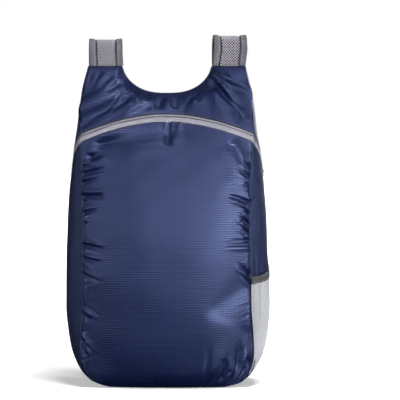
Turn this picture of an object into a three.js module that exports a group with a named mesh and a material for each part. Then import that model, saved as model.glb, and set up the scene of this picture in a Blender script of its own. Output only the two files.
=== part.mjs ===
import * as THREE from 'three';

// Packable backpack, standing filled on its base. Millimetres, +Z up.
// The origin is the middle of the base, on the floor. The front faces -Y and the shoulder straps hang at +Y.
// The cloth shell is one closed form, cut into its sewn panels. A place on it has a loop coordinate:
// 0 is the middle of the front, 1 the front seam, 2 the back seam and 3 the middle of the back.
// It is negative on the left, and past 3 it goes on round the back to the left.

// Driving dimensions of the bag
const bodyHeight = 440;
const bodyWidth = 280;
const bodyDepth = 130;
const cloth = 1.3;
const seamGap = 0.3;
const neckWidth = 122;
const neckDrop = 37;
const topSetBack = 12;
const closingLength = 250;
const foldWidth = 10;
const foldDepth = 4;
const smoothHem = 18;
const smoothFoot = 6;

// Driving dimensions of the front zip
const yokeDrop = 33;
const zipFall = 100;
const tapeAbove = 4;
const tapeBelow = 6.5;
const sliderLength = 11;
const sliderWidth = 7;
const sliderHeight = 3.5;
const pullLength = 22;
const pullThickness = 1.2;

// Driving dimensions of the side pocket
const pocketFoot = 20;
const pocketHeight = 121;
const pocketRise = 12;
const pocketBag = 8.5;
const netThickness = 1;
const netSwell = 1.5;
const elasticHeight = 10;
const elasticThickness = 1.8;

// Driving dimensions of the shoulder straps
const strapWidth = 46;
const strapThickness = 3.5;
const strapRise = 44;
const strapBow = 32;
const strapEnd = 112;
const archRadius = 19;
const rootDepth = 8;
const bindingWidth = 9;
const bindingThickness = 4.6;
const webbingWidth = 20;
const webbingThickness = 1.2;
const tailLength = 45;
const anchorHeight = 24;

// Driving dimensions of the ladder-lock buckles
const buckleWidth = 30;
const buckleThickness = 3;
const slotWidth = 22;
const slotHeight = 4;
const barHeight = 2.4;
const rimHeight = 3;

const clothBlue = new THREE.MeshStandardMaterial({ color: 0x3a4674, roughness: 0.55, metalness: 0 });
const gussetBlue = new THREE.MeshStandardMaterial({ color: 0x252e4c, roughness: 0.6, metalness: 0 });
const tapeGrey = new THREE.MeshStandardMaterial({ color: 0xa1a2af, roughness: 0.8, metalness: 0 });
const elasticGrey = new THREE.MeshStandardMaterial({ color: 0x59585b, roughness: 0.85, metalness: 0 });
const netGrey = new THREE.MeshStandardMaterial({ color: 0xbbbdc3, roughness: 0.9, metalness: 0 });
const meshGrey = new THREE.MeshStandardMaterial({ color: 0x97939e, roughness: 0.9, metalness: 0 });
const bindingGrey = new THREE.MeshStandardMaterial({ color: 0x787982, roughness: 0.85, metalness: 0 });
const webbingGrey = new THREE.MeshStandardMaterial({ color: 0x55565f, roughness: 0.85, metalness: 0 });
const buckleGrey = new THREE.MeshStandardMaterial({ color: 0x2e2f35, roughness: 0.45, metalness: 0 });

// Level sections of the filled bag. at is the share of bodyHeight, half the share of half the bodyWidth,
// frontSeam and backSeam shares of that half width. The last four are shares of bodyDepth: how far the
// front stands out in its middle and at its seam, and how far the back does at its seam and in its middle.
const SECTIONS = table(
  ['at', 'half', 'frontSeam', 'backSeam', 'front', 'frontEdge', 'backEdge', 'back'],
  [
    [0, 0.58, 0.97, 0.93, 0.37, 0.3, 0.31, 0.36],
    [0.009, 0.67, 0.97, 0.92, 0.42, 0.32, 0.33, 0.38],
    [0.022, 0.762, 0.965, 0.91, 0.46, 0.34, 0.345, 0.395],
    [0.05, 0.85, 0.95, 0.89, 0.505, 0.355, 0.365, 0.41],
    [0.107, 0.94, 0.9, 0.87, 0.54, 0.36, 0.38, 0.43],
    [0.176, 0.98, 0.85, 0.86, 0.56, 0.36, 0.385, 0.44],
    [0.264, 1, 0.815, 0.85, 0.565, 0.36, 0.385, 0.44],
    [0.46, 0.99, 0.815, 0.855, 0.56, 0.36, 0.385, 0.435],
    [0.61, 0.965, 0.84, 0.87, 0.54, 0.35, 0.37, 0.42],
    [0.71, 0.93, 0.89, 0.89, 0.52, 0.34, 0.36, 0.41],
    [0.8, 0.89, 0.95, 0.92, 0.5, 0.33, 0.35, 0.4],
    [0.91, 0.845, 0.97, 0.96, 0.48, 0.31, 0.33, 0.38],
    [1, 0.78, 0.985, 0.985, 0.46, 0.3, 0.32, 0.36],
  ],
);

// Folds and dents of the cloth, each along a line. loop and up give its start, loopEnd and upEnd its end,
// with up a share of bodyHeight. wide is a share of foldWidth and deep of foldDepth, negative for a valley.
const FOLDS = [
  { loop: -0.5, up: 0.9, loopEnd: -1.05, upEnd: 0.82, wide: 1.1, deep: -0.8 },
  { loop: -0.52, up: 0.93, loopEnd: -1.1, upEnd: 0.86, wide: 1.2, deep: 0.7 },
  { loop: -0.7, up: 0.97, loopEnd: -1.0, upEnd: 0.91, wide: 0.8, deep: -0.5 },
  { loop: -0.3, up: 0.9, loopEnd: -0.46, upEnd: 0.86, wide: 1, deep: 0.5 },
  { loop: 0.2, up: 0.9, loopEnd: 0.38, upEnd: 0.885, wide: 1, deep: 0.5 },
  { loop: 0.5, up: 0.955, loopEnd: 0.72, upEnd: 0.905, wide: 1, deep: -0.8 },
  { loop: 0.72, up: 0.905, loopEnd: 0.9, upEnd: 0.85, wide: 1, deep: -0.7 },
  { loop: 0.6, up: 0.97, loopEnd: 1.05, upEnd: 0.915, wide: 1, deep: 0.6 },
  { loop: 0.03, up: 0.815, loopEnd: 0.02, upEnd: 0.765, wide: 0.7, deep: -0.6 },
  { loop: -1, up: 0.8, loopEnd: -0.55, upEnd: 0.74, wide: 1.5, deep: -0.6 },
  { loop: 1, up: 0.34, loopEnd: 0.62, upEnd: 0.255, wide: 1.4, deep: -0.5 },
  { loop: -0.97, up: 0.14, loopEnd: -0.5, upEnd: 0.04, wide: 2.2, deep: -0.5 },
  { loop: -0.1, up: 0.03, loopEnd: 0.2, upEnd: 0.1, wide: 2, deep: -0.4 },
];

// Puckers that a gathered seam pulls into the cloth. loop and up give the place on the seam, reach how far
// the pucker runs along the loop, rise the share of bodyHeight it climbs, deep its share of foldDepth.
const PUCKERS = [
  { loop: -1, up: 0.664, reach: 0.22, rise: 0.012, deep: 0.6 },
  { loop: -1, up: 0.638, reach: 0.14, rise: 0.012, deep: 0.5 },
  { loop: -1, up: 0.594, reach: 0.2, rise: 0.003, deep: 0.8 },
  { loop: -1, up: 0.544, reach: 0.14, rise: 0.01, deep: 0.5 },
  { loop: -1, up: 0.443, reach: 0.18, rise: -0.01, deep: 0.5 },
  { loop: -1, up: 0.403, reach: 0.16, rise: -0.01, deep: 0.5 },
  { loop: 1, up: 0.58, reach: 0.2, rise: 0.016, deep: 0.65 },
  { loop: 1, up: 0.538, reach: 0.12, rise: 0.018, deep: 0.6 },
  { loop: 1, up: 0.508, reach: 0.12, rise: 0.019, deep: 0.7 },
  { loop: 1, up: 0.479, reach: 0.12, rise: 0.019, deep: 0.6 },
  { loop: 1, up: 0.45, reach: 0.22, rise: 0.001, deep: 0.5 },
];

// Pleats gathered into the foot of the front panel at the right. foot and head are loop coordinates.
const PLEATS = [
  { foot: 0.72, head: 0.68, up: 0.1, deep: 0.5 },
  { foot: 0.83, head: 0.84, up: 0.09, deep: 0.6 },
  { foot: 0.92, head: 0.9, up: 0.13, deep: 0.7 },
  { foot: 1, head: 0.985, up: 0.13, deep: 0.6 },
];

// The hanging run of a shoulder strap. drop is the share of the run, out the share of strapBow that it stands
// further out than the arch, and spread the share of the strap's width that it drifts to the side.
const HANG = [
  { drop: 0.16, out: 0.22, spread: 0.01 },
  { drop: 0.36, out: 0.68, spread: 0.03 },
  { drop: 0.58, out: 0.95, spread: 0.06 },
  { drop: 0.8, out: 1, spread: 0.1 },
  { drop: 1, out: 0.8, spread: 0.13 },
];

// Each side of the bag: which way it lies, and the share of strapRise by which its strap stands over the tab.
const SIDES = [
  { name: 'left', way: -1, lift: 0.886 },
  { name: 'right', way: 1, lift: 1 },
];

const halfWidth = bodyWidth / 2;
const frontSpan = halfWidth * 0.8;
const neckHalf = neckWidth / 2;
const neckFloor = bodyHeight - neckDrop;
const hem = cloth + seamGap / 2;
const tabHem = cloth + strapThickness / 2 + 3 * seamGap;

// Rows of a table as objects, each value under its column's name.
function table(columns, rows) {
  return rows.map((row) => Object.fromEntries(columns.map((name, i) => [name, row[i]])));
}

function clamp(value, low, high) {
  return Math.min(Math.max(value, low), high);
}

function mix(a, b, share) {
  return a + (b - a) * share;
}

function ease(share) {
  const t = clamp(share, 0, 1);
  return t * t * (3 - 2 * t);
}

function bell(distance) {
  return Math.exp(-distance * distance);
}

// One column of a table at a height, along smooth curves that never overshoot their rows.
function readColumn(rows, at, name) {
  const last = rows.length - 1;
  const place = clamp(at, rows[0].at, rows[last].at);
  let high = 1;
  while (high < last && rows[high].at < place) high += 1;
  const secant = (i) => (rows[i + 1][name] - rows[i][name]) / (rows[i + 1].at - rows[i].at);
  const slope = (i) => {
    if (i === 0) return secant(0);
    if (i === last) return secant(last - 1);
    const before = secant(i - 1);
    const after = secant(i);
    return before * after <= 0 ? 0 : (2 * before * after) / (before + after);
  };
  const low = high - 1;
  const step = rows[high].at - rows[low].at;
  const t = (place - rows[low].at) / step;
  const lowPart = rows[low][name] * (1 + 2 * t) * (1 - t) ** 2 + slope(low) * step * t * (1 - t) ** 2;
  const highPart = rows[high][name] * (3 - 2 * t) * t ** 2 - slope(high) * step * (1 - t) * t ** 2;
  return lowPart + highPart;
}

// The top edge: a deep round neckline between two flat tabs.
function topEdge(x) {
  const share = Math.min(Math.abs(x) / neckHalf, 1);
  return bodyHeight - neckDrop * (1 - share ** 2.6) ** 0.625;
}

const neckline = [];
for (let i = 0; i <= 24; i += 1) {
  const x = neckHalf * Math.sin((Math.PI / 2) * (i / 24));
  neckline.push(new THREE.Vector2(x, topEdge(x)));
}

function segmentDistance(point, from, to) {
  const along = to.clone().sub(from);
  const share = clamp(point.clone().sub(from).dot(along) / along.lengthSq(), 0, 1);
  return point.distanceTo(from.clone().addScaledVector(along, share));
}

// How far a place lies below the top seam, blended smoothly inside the tabs.
function belowTop(x, z) {
  const point = new THREE.Vector2(Math.abs(x), z);
  let neck = Infinity;
  for (let i = 1; i < neckline.length; i += 1) {
    neck = Math.min(neck, segmentDistance(point, neckline[i - 1], neckline[i]));
  }
  const tab = Math.max(bodyHeight - z, 0);
  if (z >= topEdge(x) || neck <= 0 || tab <= 0) return 0;
  return (neck ** -3 + tab ** -3) ** (-1 / 3);
}

function closing(distance) {
  const share = clamp(distance / closingLength, 0, 1);
  return (1 - (1 - share) ** 2.2) ** 0.62;
}

// The shell without its folds, at a loop coordinate and a height.
function smoothShell(loop, z) {
  const wrapped = loop > 3 ? loop - 6 : loop;
  const way = wrapped < 0 ? -1 : 1;
  const m = Math.abs(wrapped);
  const at = z / bodyHeight;
  const half = halfWidth * readColumn(SECTIONS, at, 'half');
  const frontSeam = half * readColumn(SECTIONS, at, 'frontSeam');
  const backSeam = half * readColumn(SECTIONS, at, 'backSeam');
  const front = bodyDepth * readColumn(SECTIONS, at, 'front');
  const frontEdge = bodyDepth * readColumn(SECTIONS, at, 'frontEdge');
  const backEdge = bodyDepth * readColumn(SECTIONS, at, 'backEdge');
  const back = bodyDepth * readColumn(SECTIONS, at, 'back');
  let x = 0;
  let y = 0;
  let turn = 0;
  if (m <= 1) {
    x = frontSeam * m;
    y = -frontEdge - (front - frontEdge) * (1 - m ** 2.4);
    turn = -1;
  } else if (m <= 2) {
    const g = m - 1;
    const bulge = half - (frontSeam + backSeam) / 2;
    x = mix(frontSeam, backSeam, g) + bulge * (1 - Math.abs(2 * g - 1) ** 2.3);
    y = mix(-frontEdge, backEdge, g);
    turn = 2 * g - 1;
  } else {
    const b = 3 - m;
    x = backSeam * b;
    y = backEdge + (back - backEdge) * (1 - b ** 2.4);
    turn = 1;
  }
  const edge = topSetBack + turn * mix(hem, tabHem, ease((x - neckHalf) / bindingWidth * 1.6));
  y = mix(edge, y, closing(belowTop(x, z)));
  return new THREE.Vector3(way * x, y, z);
}

// The outward direction of the shell, taken over a short reach so that both cloths at a seam share it.
function outward(loop, z) {
  const reach = 0.03;
  const rise = 3;
  const across = smoothShell(loop + reach, z).sub(smoothShell(loop - reach, z));
  const up = smoothShell(loop, z + rise).sub(smoothShell(loop, Math.max(z - rise, 0)));
  return across.cross(up).normalize();
}

function lineFold(loop, z, row, width) {
  const point = new THREE.Vector2(loop * frontSpan, z);
  const from = new THREE.Vector2(row.loop * frontSpan, row.up * bodyHeight);
  const to = new THREE.Vector2(row.loopEnd * frontSpan, row.upEnd * bodyHeight);
  return bell(segmentDistance(point, from, to) / width);
}

function pocketTop(loop) {
  return pocketFoot + pocketHeight + pocketRise * (loop - 1);
}

// How far the side of the bag is pressed in behind the pocket, which leaves the pocket open at its mouth.
function pocketDent(loop, z) {
  if (loop <= 1 || loop >= 2) return 0;
  const end = pocketTop(loop) + seamGap + elasticHeight * 1.4;
  const within = ease((z - pocketFoot) / (pocketHeight / 2)) * ease((end - z) / elasticHeight);
  return pocketBag * within * Math.sin(Math.PI * (loop - 1)) ** 0.8;
}

// How far the folded cloth stands out of the smooth shell.
function relief(loop, z) {
  const at = z / bodyHeight;
  let sum = 0;
  for (const row of FOLDS) {
    sum += foldDepth * row.deep * lineFold(loop, z, row, foldWidth * row.wide);
  }
  for (const row of PUCKERS) {
    const inward = Math.abs(row.loop) - loop * Math.sign(row.loop);
    if (inward < -0.05 || inward > row.reach) continue;
    const line = row.up + row.rise * (inward / row.reach);
    const fade = ease(1 - inward / row.reach) * ease((inward + 0.05) / 0.1);
    sum -= foldDepth * row.deep * fade * bell(((at - line) * bodyHeight) / (foldWidth * 0.4));
  }
  for (const row of PLEATS) {
    const share = at / row.up;
    if (share >= 1 || loop < 0) continue;
    const aside = (loop - mix(row.foot, row.head, share)) * frontSpan;
    sum -= foldDepth * row.deep * ease(2 * (1 - share)) * bell(aside / (foldWidth * 0.4));
  }
  sum -= pocketDent(loop, z);
  const x = smoothShell(loop, z).x;
  return sum * ease(belowTop(x, z) / smoothHem) * ease(0.4 + z / smoothFoot * 0.6);
}

// The outer face of the cloth.
function shell(loop, z) {
  return smoothShell(loop, z).addScaledVector(outward(loop, z), relief(loop, z));
}

// How far the shell runs for one unit of the loop coordinate.
function loopSpeed(loop, z) {
  const reach = 0.02;
  return smoothShell(loop + reach, z).distanceTo(smoothShell(loop - reach, z)) / (2 * reach);
}

function zipHeight(loop) {
  return neckFloor - yokeDrop - zipFall * (Math.abs(loop) / 2) ** 1.9;
}

// A width across the zip, measured straight up, which grows where the zip runs steeply.
function upAcrossZip(loop, width) {
  const reach = 0.02;
  const inside = clamp(Math.abs(loop), reach, 2 - reach);
  const fall = (zipHeight(inside + reach) - zipHeight(inside - reach)) / (2 * reach);
  return width * Math.hypot(1, fall / loopSpeed(inside, zipHeight(inside)));
}

// The height at which a column of the shell meets the top edge, found by halving.
function topHeight(loop) {
  const m = Math.abs(loop > 3 ? loop - 6 : loop);
  let low = neckFloor;
  let high = bodyHeight;
  if (smoothShell(m, high).x >= neckHalf) return bodyHeight;
  for (let i = 0; i < 18; i += 1) {
    const middle = (low + high) / 2;
    if (topEdge(smoothShell(m, middle).x) > middle) low = middle;
    else high = middle;
  }
  return high;
}

// A closed solid between an outer and an inner grid of points, with the same rows and columns.
function slabGeometry(outer, inner) {
  const rows = outer.length;
  const columns = outer[0].length;
  const positions = [];
  for (const grid of [outer, inner]) {
    for (const row of grid) {
      for (const point of row) positions.push(point.x, point.y, point.z);
    }
  }
  const index = (layer, j, i) => layer * rows * columns + j * columns + i;
  const faces = [];
  const quad = (a, b, c, d) => faces.push(a, b, c, a, c, d);
  for (let j = 0; j < rows - 1; j += 1) {
    for (let i = 0; i < columns - 1; i += 1) {
      quad(index(0, j, i), index(0, j, i + 1), index(0, j + 1, i + 1), index(0, j + 1, i));
      quad(index(1, j, i), index(1, j + 1, i), index(1, j + 1, i + 1), index(1, j, i + 1));
    }
  }
  for (let i = 0; i < columns - 1; i += 1) {
    quad(index(0, 0, i), index(1, 0, i), index(1, 0, i + 1), index(0, 0, i + 1));
    quad(index(0, rows - 1, i + 1), index(1, rows - 1, i + 1), index(1, rows - 1, i), index(0, rows - 1, i));
  }
  for (let j = 0; j < rows - 1; j += 1) {
    quad(index(0, j + 1, 0), index(1, j + 1, 0), index(1, j, 0), index(0, j, 0));
    const last = columns - 1;
    quad(index(0, j, last), index(1, j, last), index(1, j + 1, last), index(0, j + 1, last));
  }
  return facingOut(positions, faces);
}

function facingOut(positions, faces) {
  const corner = (i) => new THREE.Vector3(positions[3 * i], positions[3 * i + 1], positions[3 * i + 2]);
  let volume = 0;
  for (let f = 0; f < faces.length; f += 3) {
    volume += corner(faces[f]).dot(corner(faces[f + 1]).cross(corner(faces[f + 2])));
  }
  const geometry = new THREE.BufferGeometry();
  geometry.setAttribute('position', new THREE.Float32BufferAttribute(positions, 3));
  geometry.setIndex(volume < 0 ? faces.reverse() : faces);
  geometry.computeVertexNormals();
  return geometry;
}

function namedMesh(name, geometry, material) {
  const mesh = new THREE.Mesh(geometry, material);
  mesh.name = name;
  return mesh;
}

// Rows of heights between two edges, each a function of the loop coordinate.
function rowsBetween(low, high, shares) {
  return shares.map((share) => (loop) => mix(low(loop), high(loop), share));
}

// A piece of the shell over a list of loop coordinates and a list of rows. standOff lifts it off the shell.
function shellPiece({ loops, rows, thickness, standOff = () => 0 }) {
  const outer = [];
  const inner = [];
  rows.forEach((height, j) => {
    const outerRow = [];
    const innerRow = [];
    const share = j / (rows.length - 1);
    loops.forEach((loop, i) => {
      const z = height(loop);
      const shift = seamGap / 2 / loopSpeed(loop, z);
      const trimmed = loop + (i === 0 ? shift : 0) - (i === loops.length - 1 ? shift : 0);
      const out = outward(trimmed, z);
      const face = shell(trimmed, z).addScaledVector(out, standOff(trimmed, share));
      outerRow.push(face);
      innerRow.push(face.clone().addScaledVector(out, -thickness));
    });
    outer.push(outerRow);
    inner.push(innerRow);
  });
  return slabGeometry(outer, inner);
}

// Evenly eased steps from one value to another, closest together at the end that eases.
function steps(from, to, count, easing = (t) => t) {
  return Array.from({ length: count + 1 }, (_, i) => mix(from, to, easing(i / count)));
}

const closeAtEnd = (t) => Math.sin((Math.PI / 2) * t);
const closeAtStart = (t) => 1 - Math.cos((Math.PI / 2) * t);

function bothWays(half) {
  return [...half.slice(1).map((value) => -value).reverse(), ...half];
}

const neckCorner = neckHalf / smoothShell(1, bodyHeight).x;
const frontHalf = steps(0, 1, 13, closeAtEnd);
const sideLoops = steps(1, 2, 8);
const yokeHalf = [
  ...steps(0, neckCorner, 8, closeAtEnd),
  ...steps(neckCorner, 1, 4).slice(1),
  ...sideLoops.slice(1),
];
const backHalf = [...steps(0, neckCorner, 5, closeAtEnd), ...steps(neckCorner, 1, 3).slice(1)];
const footShares = steps(0, 0.14, 6, closeAtStart);
const frontShares = [...footShares, ...steps(0.14, 0.4, 4).slice(1), ...steps(0.4, 1, 20).slice(1)];
const sideShares = [...footShares, ...steps(0.14, 0.4, 4).slice(1), ...steps(0.4, 1, 10).slice(1)];
const yokeShares = [...steps(0, 0.8, 5), ...steps(0.8, 1, 3, closeAtEnd).slice(1)];

const clothPieces = new THREE.Group();

const overZip = (loop) => zipHeight(loop) + upAcrossZip(loop, tapeAbove + seamGap / 2);
const underZip = (loop) => zipHeight(loop) - upAcrossZip(loop, tapeBelow + seamGap / 2);
const onFloor = () => 0;

clothPieces.add(namedMesh('front_panel', shellPiece({
  loops: bothWays(frontHalf),
  rows: rowsBetween(onFloor, underZip, frontShares),
  thickness: cloth,
}), clothBlue));

clothPieces.add(namedMesh('yoke', shellPiece({
  loops: bothWays(yokeHalf),
  rows: rowsBetween(overZip, topHeight, yokeShares),
  thickness: cloth,
}), clothBlue));

for (const { name, way } of SIDES) {
  clothPieces.add(namedMesh(`side_panel_${name}`, shellPiece({
    loops: sideLoops.map((value) => way * value).sort((a, b) => a - b),
    rows: rowsBetween(onFloor, underZip, sideShares),
    thickness: cloth,
  }), gussetBlue));
}

clothPieces.add(namedMesh('back_panel', shellPiece({
  loops: bothWays(backHalf).map((value) => 3 + value),
  rows: [
    ...rowsBetween(onFloor, () => underZip(2), sideShares),
    ...rowsBetween(() => overZip(2), topHeight, yokeShares),
  ],
  thickness: cloth,
}), gussetBlue));

// The base fills the ring of the panels' lower edges, and is the flat face that the bag rests on.
function baseGeometry() {
  const inset = cloth + seamGap;
  const outline = new THREE.Shape();
  const loops = [...steps(0, 1, 6), ...steps(1, 2, 5).slice(1), ...steps(2, 4, 10).slice(1)];
  const ring = [...loops, ...steps(4, 5, 5).slice(1), ...steps(5, 6, 6).slice(1, -1)];
  ring.forEach((loop, i) => {
    const place = loop > 3 ? loop - 6 : loop;
    const out = outward(place, 0).setZ(0).normalize();
    const point = shell(place, 0).addScaledVector(out, -inset);
    if (i === 0) outline.moveTo(point.x, point.y);
    else outline.lineTo(point.x, point.y);
  });
  return new THREE.ExtrudeGeometry(outline, { depth: cloth, bevelEnabled: false });
}

clothPieces.add(namedMesh('base_panel', baseGeometry(), gussetBlue));

const zip = new THREE.Group();
const zipLoops = bothWays([...frontHalf, ...sideLoops.slice(1)]);

const alongZip = (lift) => (loop) => zipHeight(loop) + Math.sign(lift) * upAcrossZip(loop, Math.abs(lift));

zip.add(namedMesh('zip_tape_upper', shellPiece({
  loops: zipLoops,
  rows: [alongZip(seamGap / 2), alongZip(tapeAbove - seamGap / 2)],
  thickness: cloth,
}), tapeGrey));

zip.add(namedMesh('zip_tape_lower', shellPiece({
  loops: zipLoops,
  rows: [alongZip(seamGap / 2 - tapeBelow), alongZip(-seamGap / 2)],
  thickness: cloth,
}), tapeGrey));

// The slider sits on the closed zip near its right end, behind the widest line of the bag. Its pull lies
// along the tape.
function sliderGeometry() {
  const profile = new THREE.Shape();
  profile.moveTo(0, 0);
  profile.lineTo(sliderLength, 0);
  profile.lineTo(sliderLength, sliderHeight * 0.6);
  profile.lineTo(sliderLength * 0.7, sliderHeight);
  profile.lineTo(-pullLength, sliderHeight);
  profile.lineTo(-pullLength, sliderHeight - pullThickness);
  profile.lineTo(0, sliderHeight - pullThickness);
  profile.closePath();
  const geometry = new THREE.ExtrudeGeometry(profile, { depth: sliderWidth, bevelEnabled: false });
  geometry.translate(-sliderLength / 2, 0, -sliderWidth / 2);
  const loop = 1.76;
  const reach = 0.04;
  const place = shell(loop, zipHeight(loop));
  const ahead = shell(loop + reach, zipHeight(loop + reach));
  const behind = shell(loop - reach, zipHeight(loop - reach));
  const out = outward(loop, zipHeight(loop));
  const along = behind.sub(ahead).normalize();
  const side = along.clone().cross(out).normalize();
  const square = side.clone().cross(along).normalize();
  place.addScaledVector(square, seamGap * 2);
  geometry.applyMatrix4(new THREE.Matrix4().makeBasis(along, square, side).setPosition(place));
  return geometry;
}

zip.add(namedMesh('zip_slider', sliderGeometry(), buckleGrey));

const pocket = new THREE.Group();
const pocketLoops = steps(1.02, 1.98, 10);

// The pocket spans the pressed-in side, and swells a little between its seams.
function slack(loop, share) {
  const z = mix(pocketFoot, pocketTop(loop), share);
  const across = Math.sin(Math.PI * clamp(loop - 1, 0, 1));
  return seamGap + pocketDent(loop, z) + netSwell * across * Math.sin(Math.PI * clamp(share, 0, 1));
}

pocket.add(namedMesh('pocket_net', shellPiece({
  loops: pocketLoops,
  rows: rowsBetween(() => pocketFoot, pocketTop, steps(0, 1, 9)),
  thickness: netThickness,
  standOff: (loop, share) => netThickness + slack(loop, share),
}), netGrey));

pocket.add(namedMesh('pocket_elastic', shellPiece({
  loops: pocketLoops,
  rows: [seamGap, seamGap + elasticHeight].map((lift) => (loop) => pocketTop(loop) + lift),
  thickness: elasticThickness,
  standOff: (loop) => elasticThickness + slack(loop, 1),
}), elasticGrey));

// A closed sweep along stations. Each station has its place, its side and out directions, and an outline of
// [side, out] points in millimetres.
function sweepGeometry(stations) {
  const count = stations[0].outline.length;
  const positions = [];
  for (const { place, side, out, outline } of stations) {
    for (const [across, lift] of outline) {
      const point = place.clone().addScaledVector(side, across).addScaledVector(out, lift);
      positions.push(point.x, point.y, point.z);
    }
  }
  const faces = [];
  for (let j = 0; j < stations.length - 1; j += 1) {
    for (let i = 0; i < count; i += 1) {
      const next = (i + 1) % count;
      const a = j * count + i;
      const b = j * count + next;
      faces.push(a, b, b + count, a, b + count, a + count);
    }
  }
  const lastRing = (stations.length - 1) * count;
  for (let i = 1; i < count - 1; i += 1) {
    faces.push(0, i + 1, i);
    faces.push(lastRing, lastRing + i, lastRing + i + 1);
  }
  return facingOut(positions, faces);
}

function bandOutline(from, to, thickness) {
  const half = thickness / 2;
  return [[from, -half], [to, -half], [to, half], [from, half]];
}

// A flat outline with its outer edge folded round. from is the edge beside the mesh and to the free edge.
function bindingOutline(from, to, thickness) {
  const half = thickness / 2;
  const shoulder = to - Math.sign(to - from) * half * 0.7;
  const flat = half * 0.4;
  return [[from, -half], [shoulder, -half], [to, -flat], [to, flat], [shoulder, half], [from, half]];
}

// Stations along a curve that runs in the depth of the bag, with its width across the bag.
function stationsAlong(curve, from, to, count, outlineAt) {
  const side = new THREE.Vector3(1, 0, 0);
  return steps(from, to, count).map((share) => {
    const along = curve.getTangentAt(clamp(share, 0, 1));
    const out = along.clone().cross(side).normalize();
    return { place: curve.getPointAt(clamp(share, 0, 1)), side, out, outline: outlineAt(share) };
  });
}

// The middle line of a strap: out of its tab, over a round arch and down behind the bag.
function strapCurve(way, rise) {
  const middle = way * (neckHalf + smoothShell(1, bodyHeight).x) / 2;
  const archHeight = bodyHeight + rise - archRadius - strapThickness / 2;
  const points = [
    new THREE.Vector3(middle, topSetBack, bodyHeight - rootDepth),
    new THREE.Vector3(middle, topSetBack, (bodyHeight + archHeight) / 2),
  ];
  for (const turn of steps(Math.PI, 0, 6)) {
    const y = topSetBack + archRadius * (1 + Math.cos(turn));
    points.push(new THREE.Vector3(middle, y, archHeight + archRadius * Math.sin(turn)));
  }
  for (const row of HANG) {
    const y = topSetBack + 2 * archRadius + strapBow * row.out;
    const z = mix(archHeight, strapEnd, row.drop);
    points.push(new THREE.Vector3(middle + way * strapWidth * row.spread, y, z));
  }
  return new THREE.CatmullRomCurve3(points, false, 'centripetal');
}

function strapHalf(share) {
  return mix(strapWidth, buckleWidth, ease((share - 0.68) / 0.32)) / 2;
}

function bucklePlate() {
  const height = 2 * rimHeight + barHeight + 2 * slotHeight;
  const plate = new THREE.Shape();
  plate.moveTo(-buckleWidth / 2, -height / 2);
  plate.lineTo(buckleWidth / 2, -height / 2);
  plate.lineTo(buckleWidth / 2, height / 2);
  plate.lineTo(-buckleWidth / 2, height / 2);
  plate.closePath();
  for (const way of [-1, 1]) {
    const near = way * barHeight / 2;
    const far = way * (barHeight / 2 + slotHeight);
    const slot = new THREE.Path();
    slot.moveTo(-slotWidth / 2, near);
    slot.lineTo(-slotWidth / 2, far);
    slot.lineTo(slotWidth / 2, far);
    slot.lineTo(slotWidth / 2, near);
    slot.closePath();
    plate.holes.push(slot);
  }
  const geometry = new THREE.ExtrudeGeometry(plate, { depth: buckleThickness, bevelEnabled: false });
  geometry.translate(0, 0, -buckleThickness / 2);
  return { geometry, height };
}

// How far back the panel reaches behind a band that lies level across it at a height.
function backFace(x, width, z) {
  const seam = Math.abs(smoothShell(2, z).x);
  const reach = (place) => shell(3 - clamp(Math.abs(place) / seam, 0, 1), z).y;
  return Math.max(reach(x - width / 2), reach(x), reach(x + width / 2));
}

// Stations at given points, each square to the bisector of its two runs, with its width across the bag.
function stationsThrough(points, outline) {
  const side = new THREE.Vector3(1, 0, 0);
  return points.map((place, i) => {
    const before = points[Math.max(i - 1, 0)];
    const after = points[Math.min(i + 1, points.length - 1)];
    const out = after.clone().sub(before).cross(side).normalize();
    return { place, side, out, outline };
  });
}

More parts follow.
